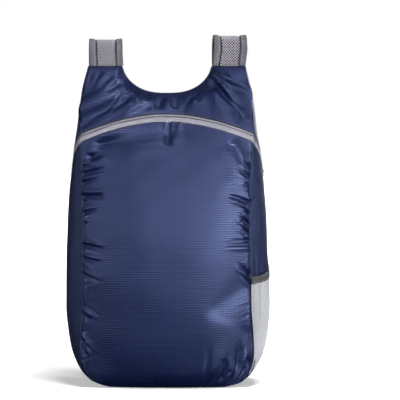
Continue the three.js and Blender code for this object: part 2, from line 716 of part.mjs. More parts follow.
function strapPieces(name, way, lift) {
  const group = new THREE.Group();
  const curve = strapCurve(way, strapRise * lift);
  const start = (rootDepth + seamGap) / curve.getLength();
  const side = new THREE.Vector3(1, 0, 0);

  const meshStations = stationsAlong(curve, 0, 1, 30, (share) => {
    const half = strapHalf(share) - bindingWidth - seamGap;
    return bandOutline(-half, half, strapThickness);
  });
  group.add(namedMesh(`strap_mesh_${name}`, sweepGeometry(meshStations), meshGrey));

  for (const [edge, edgeWay] of [['inner', -way], ['outer', way]]) {
    const bindingStations = stationsAlong(curve, start, 1, 26, (share) => {
      const half = strapHalf(share);
      return bindingOutline(edgeWay * (half - bindingWidth), edgeWay * half, bindingThickness);
    });
    group.add(namedMesh(`strap_binding_${edge}_${name}`, sweepGeometry(bindingStations), bindingGrey));
  }

  const down = curve.getTangentAt(1);
  const out = down.clone().cross(side).normalize();
  const up = out.clone().cross(side).normalize();
  if (up.z < 0) up.negate();
  if (out.y < 0) out.negate();
  const buckle = bucklePlate();
  const middle = curve.getPointAt(1).addScaledVector(down, seamGap + buckle.height / 2);
  const square = side.clone().cross(up);
  buckle.geometry.applyMatrix4(new THREE.Matrix4().makeBasis(side, up, square).setPosition(middle));
  group.add(namedMesh(`strap_buckle_${name}`, buckle.geometry, buckleGrey));

  // The webbing lies on the back panel, runs up inside the buckle, over its bar and down outside as a tail.
  const lap = buckleThickness / 2 + seamGap + webbingThickness / 2;
  const local = (lift, climb) => middle.clone().addScaledVector(out, lift).addScaledVector(up, climb);
  const lying = (z) => {
    const y = backFace(middle.x, webbingWidth, z) + seamGap + webbingThickness / 2;
    return new THREE.Vector3(middle.x, y, z);
  };
  const inside = local(-lap, -buckle.height * 0.6);
  const anchorTop = lying(anchorHeight * 1.7);
  const points = [lying(anchorHeight), lying(anchorHeight * 1.35), anchorTop];
  for (const share of [0.35, 0.7]) {
    const bow = new THREE.Vector3(0, (1 - share) * share * lap, 0);
    points.push(anchorTop.clone().lerp(inside, share).add(bow));
  }
  points.push(inside, local(-lap, -barHeight));
  for (const turn of steps(Math.PI, 0, 6)) {
    points.push(local(lap * Math.cos(turn), barHeight / 3 + lap * Math.sin(turn)));
  }
  points.push(local(lap, -barHeight), local(lap * 1.2, -buckle.height * 0.6));
  points.push(local(lap * 2, -tailLength * 0.7), local(lap * 2.6, -tailLength));
  const outline = bandOutline(-webbingWidth / 2, webbingWidth / 2, webbingThickness);
  group.add(namedMesh(`strap_webbing_${name}`, sweepGeometry(stationsThrough(points, outline)), webbingGrey));
  return group;
}

const backpack = new THREE.Group();
backpack.add(clothPieces, zip, pocket);
for (const { name, way, lift } of SIDES) {
  backpack.add(strapPieces(name, way, lift));
}

export default backpack;
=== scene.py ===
import math

import bmesh
import bpy
import numpy as np
from mathutils import Matrix, Vector


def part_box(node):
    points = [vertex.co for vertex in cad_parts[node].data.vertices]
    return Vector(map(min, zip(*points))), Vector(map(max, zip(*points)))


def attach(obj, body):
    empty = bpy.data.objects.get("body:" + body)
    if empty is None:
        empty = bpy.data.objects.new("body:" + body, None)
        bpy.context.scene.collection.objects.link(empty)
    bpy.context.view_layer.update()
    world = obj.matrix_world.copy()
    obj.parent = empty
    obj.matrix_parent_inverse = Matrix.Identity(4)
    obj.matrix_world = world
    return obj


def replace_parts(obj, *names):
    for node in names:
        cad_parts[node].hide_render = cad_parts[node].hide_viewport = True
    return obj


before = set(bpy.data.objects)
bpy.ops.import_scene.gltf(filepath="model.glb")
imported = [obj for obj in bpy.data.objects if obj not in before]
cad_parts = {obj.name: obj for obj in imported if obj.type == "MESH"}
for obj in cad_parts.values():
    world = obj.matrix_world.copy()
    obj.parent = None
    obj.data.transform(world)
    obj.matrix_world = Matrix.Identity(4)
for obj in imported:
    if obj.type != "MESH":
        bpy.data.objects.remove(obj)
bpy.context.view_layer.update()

bl_info = {
    "name": "Packable backpack",
    "version": (1, 0, 0),
    "blender": (4, 5, 0),
    "location": "3D View > Sidebar > Backpack",
    "description": "Sews the cloth, zip, net pocket, straps and stitching of a packable backpack",
    "category": "Object",
}

# Level sections of the filled bag. at is the share of the height, half the share of half the width,
# front_seam and back_seam shares of that half width, and the last four are shares of the depth.
SECTION_COLUMNS = ("at", "half", "front_seam", "back_seam", "front", "front_edge", "back_edge", "back")
SECTIONS = np.array([
    (0, 0.58, 0.97, 0.93, 0.37, 0.3, 0.31, 0.36),
    (0.009, 0.67, 0.97, 0.92, 0.42, 0.32, 0.33, 0.38),
    (0.022, 0.762, 0.965, 0.91, 0.46, 0.34, 0.345, 0.395),
    (0.05, 0.85, 0.95, 0.89, 0.505, 0.355, 0.365, 0.41),
    (0.107, 0.94, 0.9, 0.87, 0.54, 0.36, 0.38, 0.43),
    (0.176, 0.98, 0.85, 0.86, 0.56, 0.36, 0.385, 0.44),
    (0.264, 1, 0.815, 0.85, 0.565, 0.36, 0.385, 0.44),
    (0.46, 0.99, 0.815, 0.855, 0.56, 0.36, 0.385, 0.435),
    (0.61, 0.965, 0.84, 0.87, 0.54, 0.35, 0.37, 0.42),
    (0.71, 0.93, 0.89, 0.89, 0.52, 0.34, 0.36, 0.41),
    (0.8, 0.89, 0.95, 0.92, 0.5, 0.33, 0.35, 0.4),
    (0.91, 0.845, 0.97, 0.96, 0.48, 0.31, 0.33, 0.38),
    (1, 0.78, 0.985, 0.985, 0.46, 0.3, 0.32, 0.36),
])

# Broad folds and dents of the cloth. Each runs from (loop, up) to (loop_end, up_end), with up a share of the
# height. wide is a share of the fold width and deep of the fold depth, negative for a valley.
FOLDS = [
    (-0.5, 0.9, -1.05, 0.82, 1.1, -0.8),
    (-0.52, 0.93, -1.1, 0.86, 1.2, 0.7),
    (-0.7, 0.97, -1.0, 0.91, 0.8, -0.5),
    (-0.3, 0.9, -0.46, 0.86, 1, 0.5),
    (0.2, 0.9, 0.38, 0.885, 1, 0.5),
    (0.5, 0.955, 0.72, 0.905, 1, -0.8),
    (0.72, 0.905, 0.9, 0.85, 1, -0.7),
    (0.6, 0.97, 1.05, 0.915, 1, 0.6),
    (0.03, 0.815, 0.02, 0.765, 0.7, -0.6),
    (-1, 0.8, -0.55, 0.74, 1.5, -0.6),
    (1, 0.34, 0.62, 0.255, 1.4, -0.5),
    (-0.97, 0.14, -0.5, 0.04, 2.2, -0.5),
    (-0.1, 0.03, 0.2, 0.1, 2, -0.4),
]

# Sharp creases, strongest at their first end, with a soft ridge beside each. Same columns as the folds.
CREASES = [
    (-0.905, 0.717, -0.76, 0.722, 0.4, 0.5),
    (-1, 0.688, -0.87, 0.691, 0.22, 0.5),
    (-1, 0.664, -0.76, 0.679, 0.3, 0.7),
    (-1, 0.637, -0.83, 0.649, 0.28, 0.6),
    (-1, 0.595, -0.78, 0.597, 0.36, 1.1),
    (-1, 0.578, -0.92, 0.58, 0.22, 0.5),
    (-1, 0.543, -0.85, 0.555, 0.26, 0.6),
    (-1, 0.51, -0.93, 0.513, 0.2, 0.35),
    (-1, 0.445, -0.79, 0.434, 0.3, 0.75),
    (-1, 0.404, -0.81, 0.393, 0.28, 0.65),
    (-1, 0.378, -0.92, 0.361, 0.22, 0.5),
    (-1, 0.355, -0.82, 0.336, 0.26, 0.5),
    (-1, 0.247, -0.84, 0.222, 0.24, -0.45),
    (-1, 0.15, -0.87, 0.112, 0.3, 0.5),
    (-0.78, 0.758, -0.56, 0.774, 0.5, 0.5),
    (1, 0.577, 0.78, 0.596, 0.3, 0.8),
    (1, 0.563, 0.91, 0.577, 0.24, 0.6),
    (1, 0.537, 0.93, 0.557, 0.24, 0.7),
    (1, 0.506, 0.9, 0.529, 0.28, 0.95),
    (1, 0.477, 0.91, 0.5, 0.24, 0.65),
    (1, 0.447, 0.73, 0.449, 0.34, 0.55),
    (1, 0.459, 0.8, 0.46, 0.24, 0.4),
    (1, 0.352, 0.86, 0.386, 0.3, 0.8),
    (1, 0.328, 0.9, 0.352, 0.26, 0.5),
    (1, 0.682, 0.9, 0.704, 0.26, 0.55),
    (1, 0.653, 0.9, 0.672, 0.24, 0.6),
    (1, 0.622, 0.93, 0.636, 0.22, 0.5),
    (1.02, 0.575, 1.1, 0.59, 0.24, 0.5),
    (0.03, 0.822, 0.02, 0.76, 0.36, 0.8),
    (0.1, 0.82, 0.085, 0.785, 0.3, 0.5),
    (-0.05, 0.82, -0.05, 0.79, 0.3, 0.45),
    (-0.49, 0.893, -0.98, 0.815, 0.4, 0.6),
    (0.52, 0.962, 0.86, 0.865, 0.36, 0.9),
    (0.59, 0.966, 1.02, 0.915, 0.3, 0.5),
    (-0.56, 0.99, -0.62, 0.935, 0.4, 0.5),
    (0.31, 0.905, 0.2, 0.865, 0.5, 0.6),
    (-0.33, 0.905, -0.28, 0.87, 0.5, 0.5),
]

# Lines of several spans along which the cloth stands up, or dips where deep is negative: wide and deep as
# above, then the (loop, up) places that a line passes.
RIDGES = [
    (0.25, 0.3, [(-0.89, 0.981), (-0.93, 0.937)]),
    (0.5, 0.6, [(-0.76, 0.978), (-0.88, 0.928)]),
    (0.4, -0.8, [(-0.55, 0.953), (-0.74, 0.915)]),
    (0.3, 0.6, [(-0.49, 0.94), (-0.54, 0.896), (-0.69, 0.856), (-0.98, 0.818)]),
    (2.0, 1.3, [(-0.44, 0.925), (-0.3, 0.856)]),
    (0.4, 0.4, [(-0.45, 0.934), (-0.33, 0.874)]),
    (0.45, -0.5, [(-0.18, 0.915), (-0.25, 0.856)]),
    (0.3, 0.6, [(0.55, 0.969), (0.68, 0.94), (0.76, 0.909), (0.82, 0.874)]),
    (0.4, -0.8, [(0.5, 0.956), (0.62, 0.922), (0.72, 0.89)]),
    (0.3, 0.55, [(0.44, 0.944), (0.55, 0.928), (0.65, 0.906), (0.72, 0.881), (0.81, 0.856)]),
    (1.1, -1.2, [(0.74, 0.956), (0.84, 0.903), (0.93, 0.808)]),
    (0.28, 0.35, [(0.64, 0.985), (0.71, 0.959)]),
    (0.28, -0.35, [(0.78, 0.985), (0.82, 0.956)]),
    (0.5, -0.4, [(-0.08, 0.909), (-0.12, 0.862)]),
    (0.5, 0.35, [(0.0, 0.903), (0.01, 0.859)]),
    (0.5, -0.4, [(0.12, 0.903), (0.08, 0.865)]),
    (0.45, 0.35, [(0.24, 0.912), (0.26, 0.868)]),
    (0.35, -0.6, [(0.35, 0.922), (0.39, 0.881)]),
    (0.9, -0.7, [(-0.89, 0.745), (-0.49, 0.774), (-0.02, 0.79), (0.33, 0.786)]),
    (0.8, -1.0, [(0.75, 0.771), (0.9, 0.711), (0.98, 0.632)]),
    (0.5, -0.8, [(-0.92, 0.711), (-0.75, 0.736)]),
    (0.35, -0.9, [(0.72, 0.019), (0.66, 0.101)]),
    (0.3, -0.8, [(0.85, 0.016), (0.75, 0.063)]),
    (0.35, -0.9, [(0.87, 0.022), (0.86, 0.085), (0.92, 0.145)]),
    (0.3, -0.8, [(0.96, 0.025), (0.92, 0.069)]),
    (0.35, -0.9, [(1.0, 0.031), (0.96, 0.101)]),
    (1.6, -0.9, [(0.98, 0.195), (0.85, 0.107), (0.85, 0.031)]),
    (0.3, 0.5, [(-0.99, 0.245), (-0.88, 0.22)]),
    (0.3, 0.5, [(-0.97, 0.145), (-0.87, 0.101)]),
]

# Pleats gathered into the foot of the front: loop at the foot, loop at the head, head height and depth.
PLEATS = [
    (0.46, 0.487, 0.155, 0.4),
    (0.6, 0.63, 0.1, 0.45),
    (0.69, 0.715, 0.14, 0.7),
    (0.74, 0.785, 0.13, 0.6),
    (0.83, 0.845, 0.17, 0.8),
    (0.9, 0.965, 0.19, 0.7),
    (0.97, 0.985, 0.13, 0.6),
]

# The hanging run of a shoulder strap: the share of the run, how far out it stands as a share of the strap's
# bow, and how far it drifts to the side as a share of the strap's width.
HANG = [
    (0.16, 0.22, 0.01),
    (0.36, 0.68, 0.03),
    (0.58, 0.95, 0.06),
    (0.8, 1, 0.1),
    (1, 0.8, 0.13),
]

# Rows of small puckers that stitching pulls into the cloth: the pitches of the coarse and the fine row, how
# far each is shifted, their height, and how far they reach from the seam.
SEAM_PUCKERS = (0.0127, 0.0079, 0, 0.3, 0.0011, 0.011)
ZIP_PUCKERS = (0.0113, 0.0067, 0, 0.4, 0.0009, 0.009)
FOOT_PUCKERS = (0.0151, 0.0083, 0.2, 0, 0.0012, 0.012)

# The loop coordinates between which the side pocket is sewn in, the width that its net is laid out over before
# it is stretched between them, and the height of the waves along its gathered edge.
POCKET_SPAN = (1.02, 1.98)
NET_WIDTH = 0.098
POCKET_WAVE = 0.0007

# Where the slider stands on the closed zip, as a loop coordinate.
SLIDER_LOOP = 1.76

# The lamps: turn to the right and rise in degrees, distance, width and height, the beam as a multiple of the
# studio's spread or None for a wide one, and the place that the lamp is aimed at.
LAMPS = {
    "key": (36, 8, 2.6, 1.1, 0.9, 1, (0.06, 0, 0.275)),
    "side": (62, 10, 2.4, 0.8, 0.8, 1.5, (0.06, 0, 0.25)),
    "front": (12, 16, 2.6, 2.4, 1.5, None, (0, 0, 0.26)),
    "top": (12, 60, 2.4, 0.8, 1.1, None, (0, 0, 0.3)),
    "fill": (-38, 10, 2.6, 2.0, 0.8, None, (-0.05, 0, 0.25)),
    "rim": (-78, 8, 2.4, 0.6, 0.6, 1, (-0.1, 0, 0.22)),
    "back": (168, 12, 2.6, 2.4, 1.2, None, (0, 0, 0.24)),
}

# The place that the middle of the picture shows, and how far the camera looks down.
PICTURE_MIDDLE = (0.0457, 0, 0.2547)
CAMERA_RISE = math.radians(3)

# How much of the full height each strap stands over its tab.
STRAP_RISES = {"left": 0.83, "right": 0.95}

SIDES = {"left": -1, "right": 1}
ACROSS = np.array([1.0, 0, 0])


def length(name, default, description):
    return bpy.props.FloatProperty(name=name, description=description, default=default, unit="LENGTH")


def number(name, default, description):
    return bpy.props.FloatProperty(name=name, description=description, default=default)


def colour(name, default, description):
    return bpy.props.FloatVectorProperty(
        name=name, description=description, default=default, subtype="COLOR", size=3, min=0, max=1)


class BagForm(bpy.types.PropertyGroup):
    height: length("Height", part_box("back_panel")[1].z, "Height of the bag to the top of its tabs")
    width: length("Width", 0.28, "Greatest width of the filled bag")
    depth: length("Depth", 0.13, "Depth that the sections are shares of")
    cloth: length("Cloth", 0.0013, "Thickness of the shell")
    seam_gap: length("Seam gap", 0.0003, "Clearance between sewn pieces")
    tab_room: length("Tab room", 0.00175, "Half the room for a strap between the cloths of its tab")
    tab_blend: length("Tab blend", 0.005625, "Width over which the cloths part for a strap")
    tab_fade: length("Tab fade", 0.06, "Height over which they close again below it")
    neck_width: length("Neck width", 0.122, "Width of the round neckline")
    neck_drop: length("Neck drop", 0.037, "Depth of the neckline below the tabs")
    top_set_back: length("Top set back", 0.012, "How far back the top seam lies")
    closing_length: length("Closing length", 0.25, "Length over which the bag closes to its top seam")
    fold_width: length("Fold width", 0.01, "Half width of a broad fold")
    fold_depth: length("Fold depth", 0.004, "Depth of a full fold")
    crease_width: length("Crease width", 0.0085, "Half width of a sharp crease")
    crease_depth: length("Crease depth", 0.0054, "Depth of a full crease")
    seam_groove: length("Seam groove", 0.0012, "Depth of the groove along a seam")
    seam_width: length("Seam width", 0.0014, "Half width of that groove")
    stitch_aside: length("Stitches aside", 0.0035, "From a seam to the row of stitches beside it")
    yoke_drop: length("Yoke drop", 0.033, "Height of the yoke in its middle")
    zip_fall: length("Zip fall", 0.1, "How far the zip falls from the middle to its ends")
    tape_above: length("Tape above", 0.004, "Height of the tape above the closure")
    tape_below: length("Tape below", 0.0065, "Height of the tape below the closure")
    pocket_foot: length("Pocket foot", 0.02, "Height of the pocket's lower edge")
    pocket_height: length("Pocket height", 0.121, "Height of the net at the front seam")
    pocket_rise: length("Pocket rise", 0.012, "How much higher the pocket is at the back seam")
    pocket_bag: length("Pocket bag", 0.0085, "Depth of the room behind the net")


class BagCloth(bpy.types.PropertyGroup):
    front_colour: colour("Front", (0.0038, 0.0095, 0.05), "Colour of the ripstop front and yoke")
    side_colour: colour("Sides", (0.0075, 0.0125, 0.047), "Colour of the plain side, back and base cloth")
    thread_colour: colour("Thread", (0.012, 0.018, 0.06), "Colour of the sewing thread on the cloth")
    grid_width: length("Grid across", 0.0029, "Width of one ripstop cell")
    grid_height: length("Grid up", 0.0032, "Height of one ripstop cell")
    yarn: length("Yarn", 0.00055, "Width of a yarn in the weave")
    step: length("Mesh step", 0.002, "Width of the cloth's mesh away from its seams")
    rise: length("Mesh rise", 0.0012, "Height of the ripstop's mesh away from its edges")
    plain_rise: length("Plain mesh rise", 0.0026, "Height of the plain cloth's mesh away from its edges")
    fine_step: length("Fine mesh step", 0.0008, "Size of the cloth's mesh beside its seams")
    fine_width: length("Fine mesh width", 0.012, "Width of the fine mesh beside a seam")


class ZipTrim(bpy.types.PropertyGroup):
    tape_colour: colour("Tape", (0.29, 0.283, 0.335), "Colour of the zip tape")
    slider_colour: colour("Slider", (0.03, 0.031, 0.036), "Colour of the slider and its pull")
    slider_length: length("Slider length", 0.011, "Length of the slider's body")
    slider_width: length("Slider width", 0.007, "Width of the slider's body")
    pull_length: length("Pull length", 0.022, "Length of the pull beyond the slider")


class PocketTrim(bpy.types.PropertyGroup):
    net_colour: colour("Net", (0.64, 0.65, 0.69), "Colour of the pocket net")
    elastic_colour: colour("Elastic", (0.072, 0.07, 0.073), "Colour of the elastic edge")
    net_cell: length("Net cell", 0.0026, "Width of one hole of the net")
    net_yarn: length("Net yarn", 0.00062, "Radius of the net's yarn")
    net_swell: length("Net swell", 0.0015, "How far the net bellies out")
    net_thickness: length("Net thickness", 0.001, "Room that the net takes")
    elastic_height: length("Elastic height", 0.01, "Width of the elastic edge")
    elastic_thickness: length("Elastic thickness", 0.0018, "Thickness of the elastic edge")
    rib: length("Elastic rib", 0.0011, "Spacing of the elastic's ribs")


class StrapTrim(bpy.types.PropertyGroup):
    width: length("Width", 0.046, "Width of a shoulder strap")
    thickness: length("Thickness", 0.0035, "Thickness of the padded middle")
    rise: length("Rise", 0.044, "Full height of a strap over its tab")
    bow: length("Bow", 0.032, "How far the strap stands out behind its arch")
    end: length("End", 0.112, "Height of the strap's lower end")
    arch: length("Arch radius", 0.019, "Radius of the arch over the shoulder")
    root: length("Root", 0.008, "How deep the strap is sewn into its tab")
    binding: length("Binding", 0.009, "Width of the binding on each edge")
    binding_thickness: length("Binding thickness", 0.0046, "Thickness over the binding")
    lean: length("Lean", 0.0032, "How far the hanging run stands to the left of the front run")
    splay: length("Splay", 0.002, "How far the strap leans outwards at its arch")
    set: length("Set", 0.0012, "How far to the right the strap is sewn in")
    curl: length("Curl", 0.0018, "How far the strap's edges curl up over its arch")
    mesh_cell: length("Mesh cell", 0.0042, "Width of one diamond of the spacer mesh")
    mesh_yarn: length("Mesh yarn", 0.00044, "Radius of the spacer mesh's yarn")
    webbing: length("Webbing", 0.02, "Width of the webbing")
    webbing_thickness: length("Webbing thickness", 0.0012, "Thickness of the webbing")
    tail: length("Tail", 0.045, "Length of the webbing's free tail")
    anchor: length("Anchor", 0.024, "Height of the webbing's sewn end")
    pad_colour: colour("Pad", (0.003, 0.003, 0.004), "Colour of the ground of the spacer mesh")
    mesh_colour: colour("Mesh", (0.5, 0.475, 0.54), "Colour of the spacer mesh's yarn")
    binding_colour: colour("Binding", (0.17, 0.173, 0.195), "Colour of the strap binding")
    webbing_colour: colour("Webbing", (0.07, 0.072, 0.085), "Colour of the webbing")
    buckle_colour: colour("Buckle", (0.022, 0.023, 0.028), "Colour of the moulded buckles")


class BuckleForm(bpy.types.PropertyGroup):
    width: length("Width", 0.03, "Width of the buckle")
    thickness: length("Thickness", 0.003, "Thickness of the buckle")
    slot_width: length("Slot width", 0.022, "Width of a slot")
    slot_height: length("Slot height", 0.004, "Height of a slot")
    bar: length("Bar", 0.0024, "Height of the middle bar")
    rim: length("Rim", 0.003, "Height of the outer bars")


class Stitching(bpy.types.PropertyGroup):
    spacing: length("Spacing", 0.0031, "From one stitch to the next")
    stitch: length("Stitch", 0.0022, "Length of a stitch")
    thread: length("Thread", 0.00028, "Radius of the thread")


class Studio(bpy.types.PropertyGroup):
    floor_colour: colour("Floor", (0.86, 0.86, 0.87), "Colour of the floor")
    key: number("Key light", 1.1, "Power of the narrow light on the right of the camera")
    side: number("Side light", 1.1, "Power of the narrow light further to the right")
    front: number("Front light", 26, "Power of the wide light in front")
    top: number("Top light", 16, "Power of the light overhead")
    fill: number("Fill light", 14, "Power of the wide light on the left")
    rim: number("Rim light", 0.24, "Power of the narrow light on the left")
    back: number("Back light", 24, "Power of the light behind the bag")
    spread: bpy.props.FloatProperty(
        name="Spread", description="Angle over which the narrow lights fan out", default=0.24,
        subtype="ANGLE")
    sky: number("Sky", 0.1, "Strength of the light from all round")
    sweep: number("Sweep", 0.1, "Slope of the paper behind the bag")
    floor_lamp: number("Floor lamp", 60, "Power of the floor's own lamp")
    floor_glow: number("Floor glow", 0.45, "Even light of the white floor")
    distance: length("Camera distance", 3.0, "From the camera to the bag")
    picture: length("Picture width", 0.5536, "Width of the picture at the bag")


PROPERTY_GROUPS = {
    "bag_form": BagForm,
    "bag_cloth": BagCloth,
    "bag_zip": ZipTrim,
    "bag_pocket": PocketTrim,
    "bag_strap": StrapTrim,
    "bag_buckle": BuckleForm,
    "bag_stitching": Stitching,
    "bag_studio": Studio,
}


def mix(a, b, share):
    return a + (b - a) * share


def ease(share):
    t = np.clip(share, 0, 1)
    return t * t * (3 - 2 * t)


def bell(distance):
    return np.exp(-distance * distance)


def pinch(t):
    """A row of soft humps with sharp valleys between them, one for each whole number of t."""
    return np.abs(np.sin(np.pi * t)) ** 0.7


def puckers(along, away, kind):
    """Rows of puckers along a seam, which fade with the distance away from it."""
    coarse, fine, coarse_shift, fine_shift, height, reach = kind
    rows = 0.6 * pinch(along / coarse + coarse_shift) + 0.4 * pinch(along / fine + fine_shift)
    return height * rows * np.exp(-np.maximum(away, 0) / reach)


def pocket_wave(loop):
    """How far the gathered pocket waves in and out along its edge."""
    return POCKET_WAVE * np.sin(loop * 61)


def unit(vectors):
    return vectors / np.maximum(np.linalg.norm(vectors, axis=-1, keepdims=True), 1e-12)


def running(steps, axis=0):
    """The running sum of steps along an axis, from 0."""
    return np.concatenate([np.zeros_like(steps.take([0], axis)), np.cumsum(steps, axis=axis)], axis=axis)


def spans(points, axis=0):
    """The distances between neighbouring points along an axis."""
    return np.linalg.norm(np.diff(points, axis=axis), axis=-1)


def graded(low, high, step, fine, margin, ends=(True, True)):
    """Values from low to high, a step apart, and a fine step apart within a margin of the chosen ends."""
    values = [low]
    while values[-1] < high:
        here = values[-1]
        near = (ends[0] and here - low < margin) or (ends[1] and high - here < margin)
        values.append(here + (fine if near else step))
    values = np.array(values)
    return low + (values - low) * (high - low) / (values[-1] - low)


class Shell:
    """The outside of the filled bag, as one closed form. A place on it has a height and a loop coordinate:
    0 is the middle of the front, 1 the front seam, 2 the back seam and 3 the middle of the back,
    negative on the left."""

    def __init__(self, form):
        self.form = form
        self.half_width = form.width / 2
        self.front_span = self.half_width * 0.8
        self.side_span = self.half_width * 0.72
        self.neck_half = form.neck_width / 2
        self.neck_floor = form.height - form.neck_drop
        share = np.sin(np.pi / 2 * np.arange(25) / 24)
        self.neckline = np.stack([self.neck_half * share, self.top_edge(self.neck_half * share)], axis=-1)
        self.columns = self.smooth_columns()

    def smooth_columns(self):
        """Each column of the sections along a smooth curve that never overshoots its rows, on fine steps."""
        at = SECTIONS[:, 0]
        fine = np.linspace(0, 1, 2001)
        low = np.clip(np.searchsorted(at, fine, side="left"), 1, len(at) - 1) - 1
        step = (at[1:] - at[:-1])[low]
        t = (fine - at[low]) / step
        columns = {"at": fine}
        for name, column in zip(SECTION_COLUMNS[1:], SECTIONS.T[1:]):
            secant = np.diff(column) / np.diff(at)
            product = secant[:-1] * secant[1:]
            total = np.where(product > 0, secant[:-1] + secant[1:], 1)
            slope = np.concatenate([secant[:1], np.where(product > 0, 2 * product / total, 0), secant[-1:]])
            below = column[low] * (1 + 2 * t) * (1 - t) ** 2 + slope[low] * step * t * (1 - t) ** 2
            above = column[low + 1] * (3 - 2 * t) * t ** 2 - slope[low + 1] * step * (1 - t) * t ** 2
            columns[name] = below + above
        return columns

    def column(self, name, z):
        return np.interp(z / self.form.height, self.columns["at"], self.columns[name])

    def top_edge(self, x):
        share = np.minimum(np.abs(x) / self.neck_half, 1)
        return self.form.height - self.form.neck_drop * (1 - share ** 2.6) ** 0.625

    def below_top(self, x, z):
        """How far a place lies below the top seam, blended smoothly inside the tabs."""
        point = np.stack([np.abs(x), z], axis=-1)[..., None, :]
        start, along = self.neckline[:-1], np.diff(self.neckline, axis=0)
        share = np.clip(((point - start) * along).sum(-1) / (along ** 2).sum(-1), 0, 1)
        neck = np.linalg.norm(point - start - along * share[..., None], axis=-1).min(-1)
        tab = np.maximum(self.form.height - z, 1e-7)
        blended = (np.maximum(neck, 1e-7) ** -3 + tab ** -3) ** (-1 / 3)
        return np.where((z >= self.top_edge(x)) | (tab <= 1e-7), 0, blended)

    def smooth(self, loop, z):
        """The shell without its folds."""
        loop, z = np.broadcast_arrays(np.asarray(loop, float), np.asarray(z, float))
        form = self.form
        wrapped = np.where(loop > 3, loop - 6, loop)
        m = np.abs(wrapped)
        half = self.half_width * self.column("half", z)
        front_seam = half * self.column("front_seam", z)
        back_seam = half * self.column("back_seam", z)
        front, front_edge = form.depth * self.column("front", z), form.depth * self.column("front_edge", z)
        back, back_edge = form.depth * self.column("back", z), form.depth * self.column("back_edge", z)
        g = np.clip(m - 1, 0, 1)
        b = np.clip(3 - m, 0, 1)
        f = np.clip(m, 0, 1)
        bulge = half - (front_seam + back_seam) / 2
        side_x = mix(front_seam, back_seam, g) + bulge * (1 - np.abs(2 * g - 1) ** 2.3)
        x = np.where(m <= 1, front_seam * f, np.where(m <= 2, side_x, back_seam * b))
        front_y = -front_edge - (front - front_edge) * (1 - f ** 2.4)
        back_y = back_edge + (back - back_edge) * (1 - b ** 2.4)
        y = np.where(m <= 1, front_y, np.where(m <= 2, mix(-front_edge, back_edge, g), back_y))
        turn = np.where(m <= 1, -1, np.where(m <= 2, 2 * g - 1, 1))
        hem = form.cloth + form.seam_gap / 2
        tab_hem = form.cloth + form.tab_room + 3 * form.seam_gap
        below = self.below_top(x, z)
        in_tab = ease((x - self.neck_half) / form.tab_blend) * ease(1 - below / form.tab_fade)
        edge = form.top_set_back + turn * mix(hem, tab_hem, in_tab)
        share = np.clip(below / form.closing_length, 0, 1)
        closing = (1 - (1 - share) ** 2.2) ** 0.62
        return np.stack([np.sign(wrapped) * x, mix(edge, y, closing), z], axis=-1)

    def outward(self, loop, z):
        """The outward direction, over a short reach so that both cloths at a seam share it."""
        reach, rise = 0.03, 0.003
        across = self.smooth(loop + reach, z) - self.smooth(loop - reach, z)
        up = self.smooth(loop, z + rise) - self.smooth(loop, np.maximum(z - rise, 0))
        return unit(np.cross(across, up))

    def zip_height(self, loop):
        form = self.form
        return self.neck_floor - form.yoke_drop - form.zip_fall * (np.minimum(np.abs(loop), 2) / 2) ** 1.9

    def across_zip(self, loop, width):
        """The height that lies a signed width across the zip from its closure, measured square to it."""
        reach = 0.02
        inside = np.clip(np.abs(loop), reach, 2 - reach)
        ahead, behind = inside + reach, inside - reach
        fall = (self.zip_height(ahead) - self.zip_height(behind)) / (2 * reach)
        z = self.zip_height(inside)
        speed = np.linalg.norm(self.smooth(ahead, z) - self.smooth(behind, z), axis=-1) / (2 * reach)
        return self.zip_height(loop) + width * np.hypot(1, fall / speed)

    def over_zip(self, loop):
        return self.across_zip(loop, self.form.tape_above + self.form.seam_gap / 2)

    def under_zip(self, loop):
        return self.across_zip(loop, -self.form.tape_below - self.form.seam_gap / 2)

    def top_height(self, loop):
        """The height at which a column of the shell meets the top edge."""
        m = np.abs(np.where(loop > 3, loop - 6, loop)).astype(float)
        low = np.full(m.shape, self.neck_floor)
        high = np.full(m.shape, self.form.height)
        for _ in range(22):
            middle = (low + high) / 2
            inside = self.top_edge(self.smooth(m, middle)[..., 0]) > middle
            low = np.where(inside, middle, low)
            high = np.where(inside, high, middle)
        tab = self.smooth(m, np.full(m.shape, self.form.height))[..., 0] >= self.neck_half
        return np.where(tab, self.form.height, high)

    def pocket_top(self, loop):
        form = self.form
        return form.pocket_foot + form.pocket_height + form.pocket_rise * (loop - 1)

    def pocket_dent(self, loop, z):
        """How far the side is pressed in behind the pocket."""
        form = self.form
        g = np.clip(loop - 1, 0, 1)
        end = self.pocket_top(loop) + form.seam_gap + 0.014
        within = ease((z - form.pocket_foot) / (form.pocket_height / 2)) * ease((end - z) / 0.01)
        return np.where((loop > 1) & (loop < 2), form.pocket_bag * within * np.sin(np.pi * g) ** 0.8, 0)

    def from_line(self, loop, z, row):
        """Signed distance from a line, distance past its ends, and the share along it."""
        start = np.array([row[0] * self.front_span, row[1] * self.form.height])
        along = np.array([row[2] * self.front_span, row[3] * self.form.height]) - start
        run = np.linalg.norm(along)
        point = np.stack([loop * self.front_span, z], axis=-1) - start
        ahead = (point @ along) / run
        aside = (point[..., 1] * along[0] - point[..., 0] * along[1]) / run
        past = np.maximum(np.maximum(-ahead, ahead - run), 0)
        return aside, past, np.clip(ahead / run, 0, 1)

    def from_curve(self, loop, z, places):
        """Signed distance from a line of several spans, and the share along it."""
        nearest, signed, along = np.full(z.shape, np.inf), np.zeros(z.shape), np.zeros(z.shape)
        for i in range(len(places) - 1):
            aside, past, share = self.from_line(loop, z, places[i] + places[i + 1])
            distance = np.hypot(aside, past)
            nearer = distance < nearest
            nearest = np.where(nearer, distance, nearest)
            signed = np.where(nearer, np.copysign(distance, aside), signed)
            along = np.where(nearer, (i + share) / (len(places) - 1), along)
        return signed, along

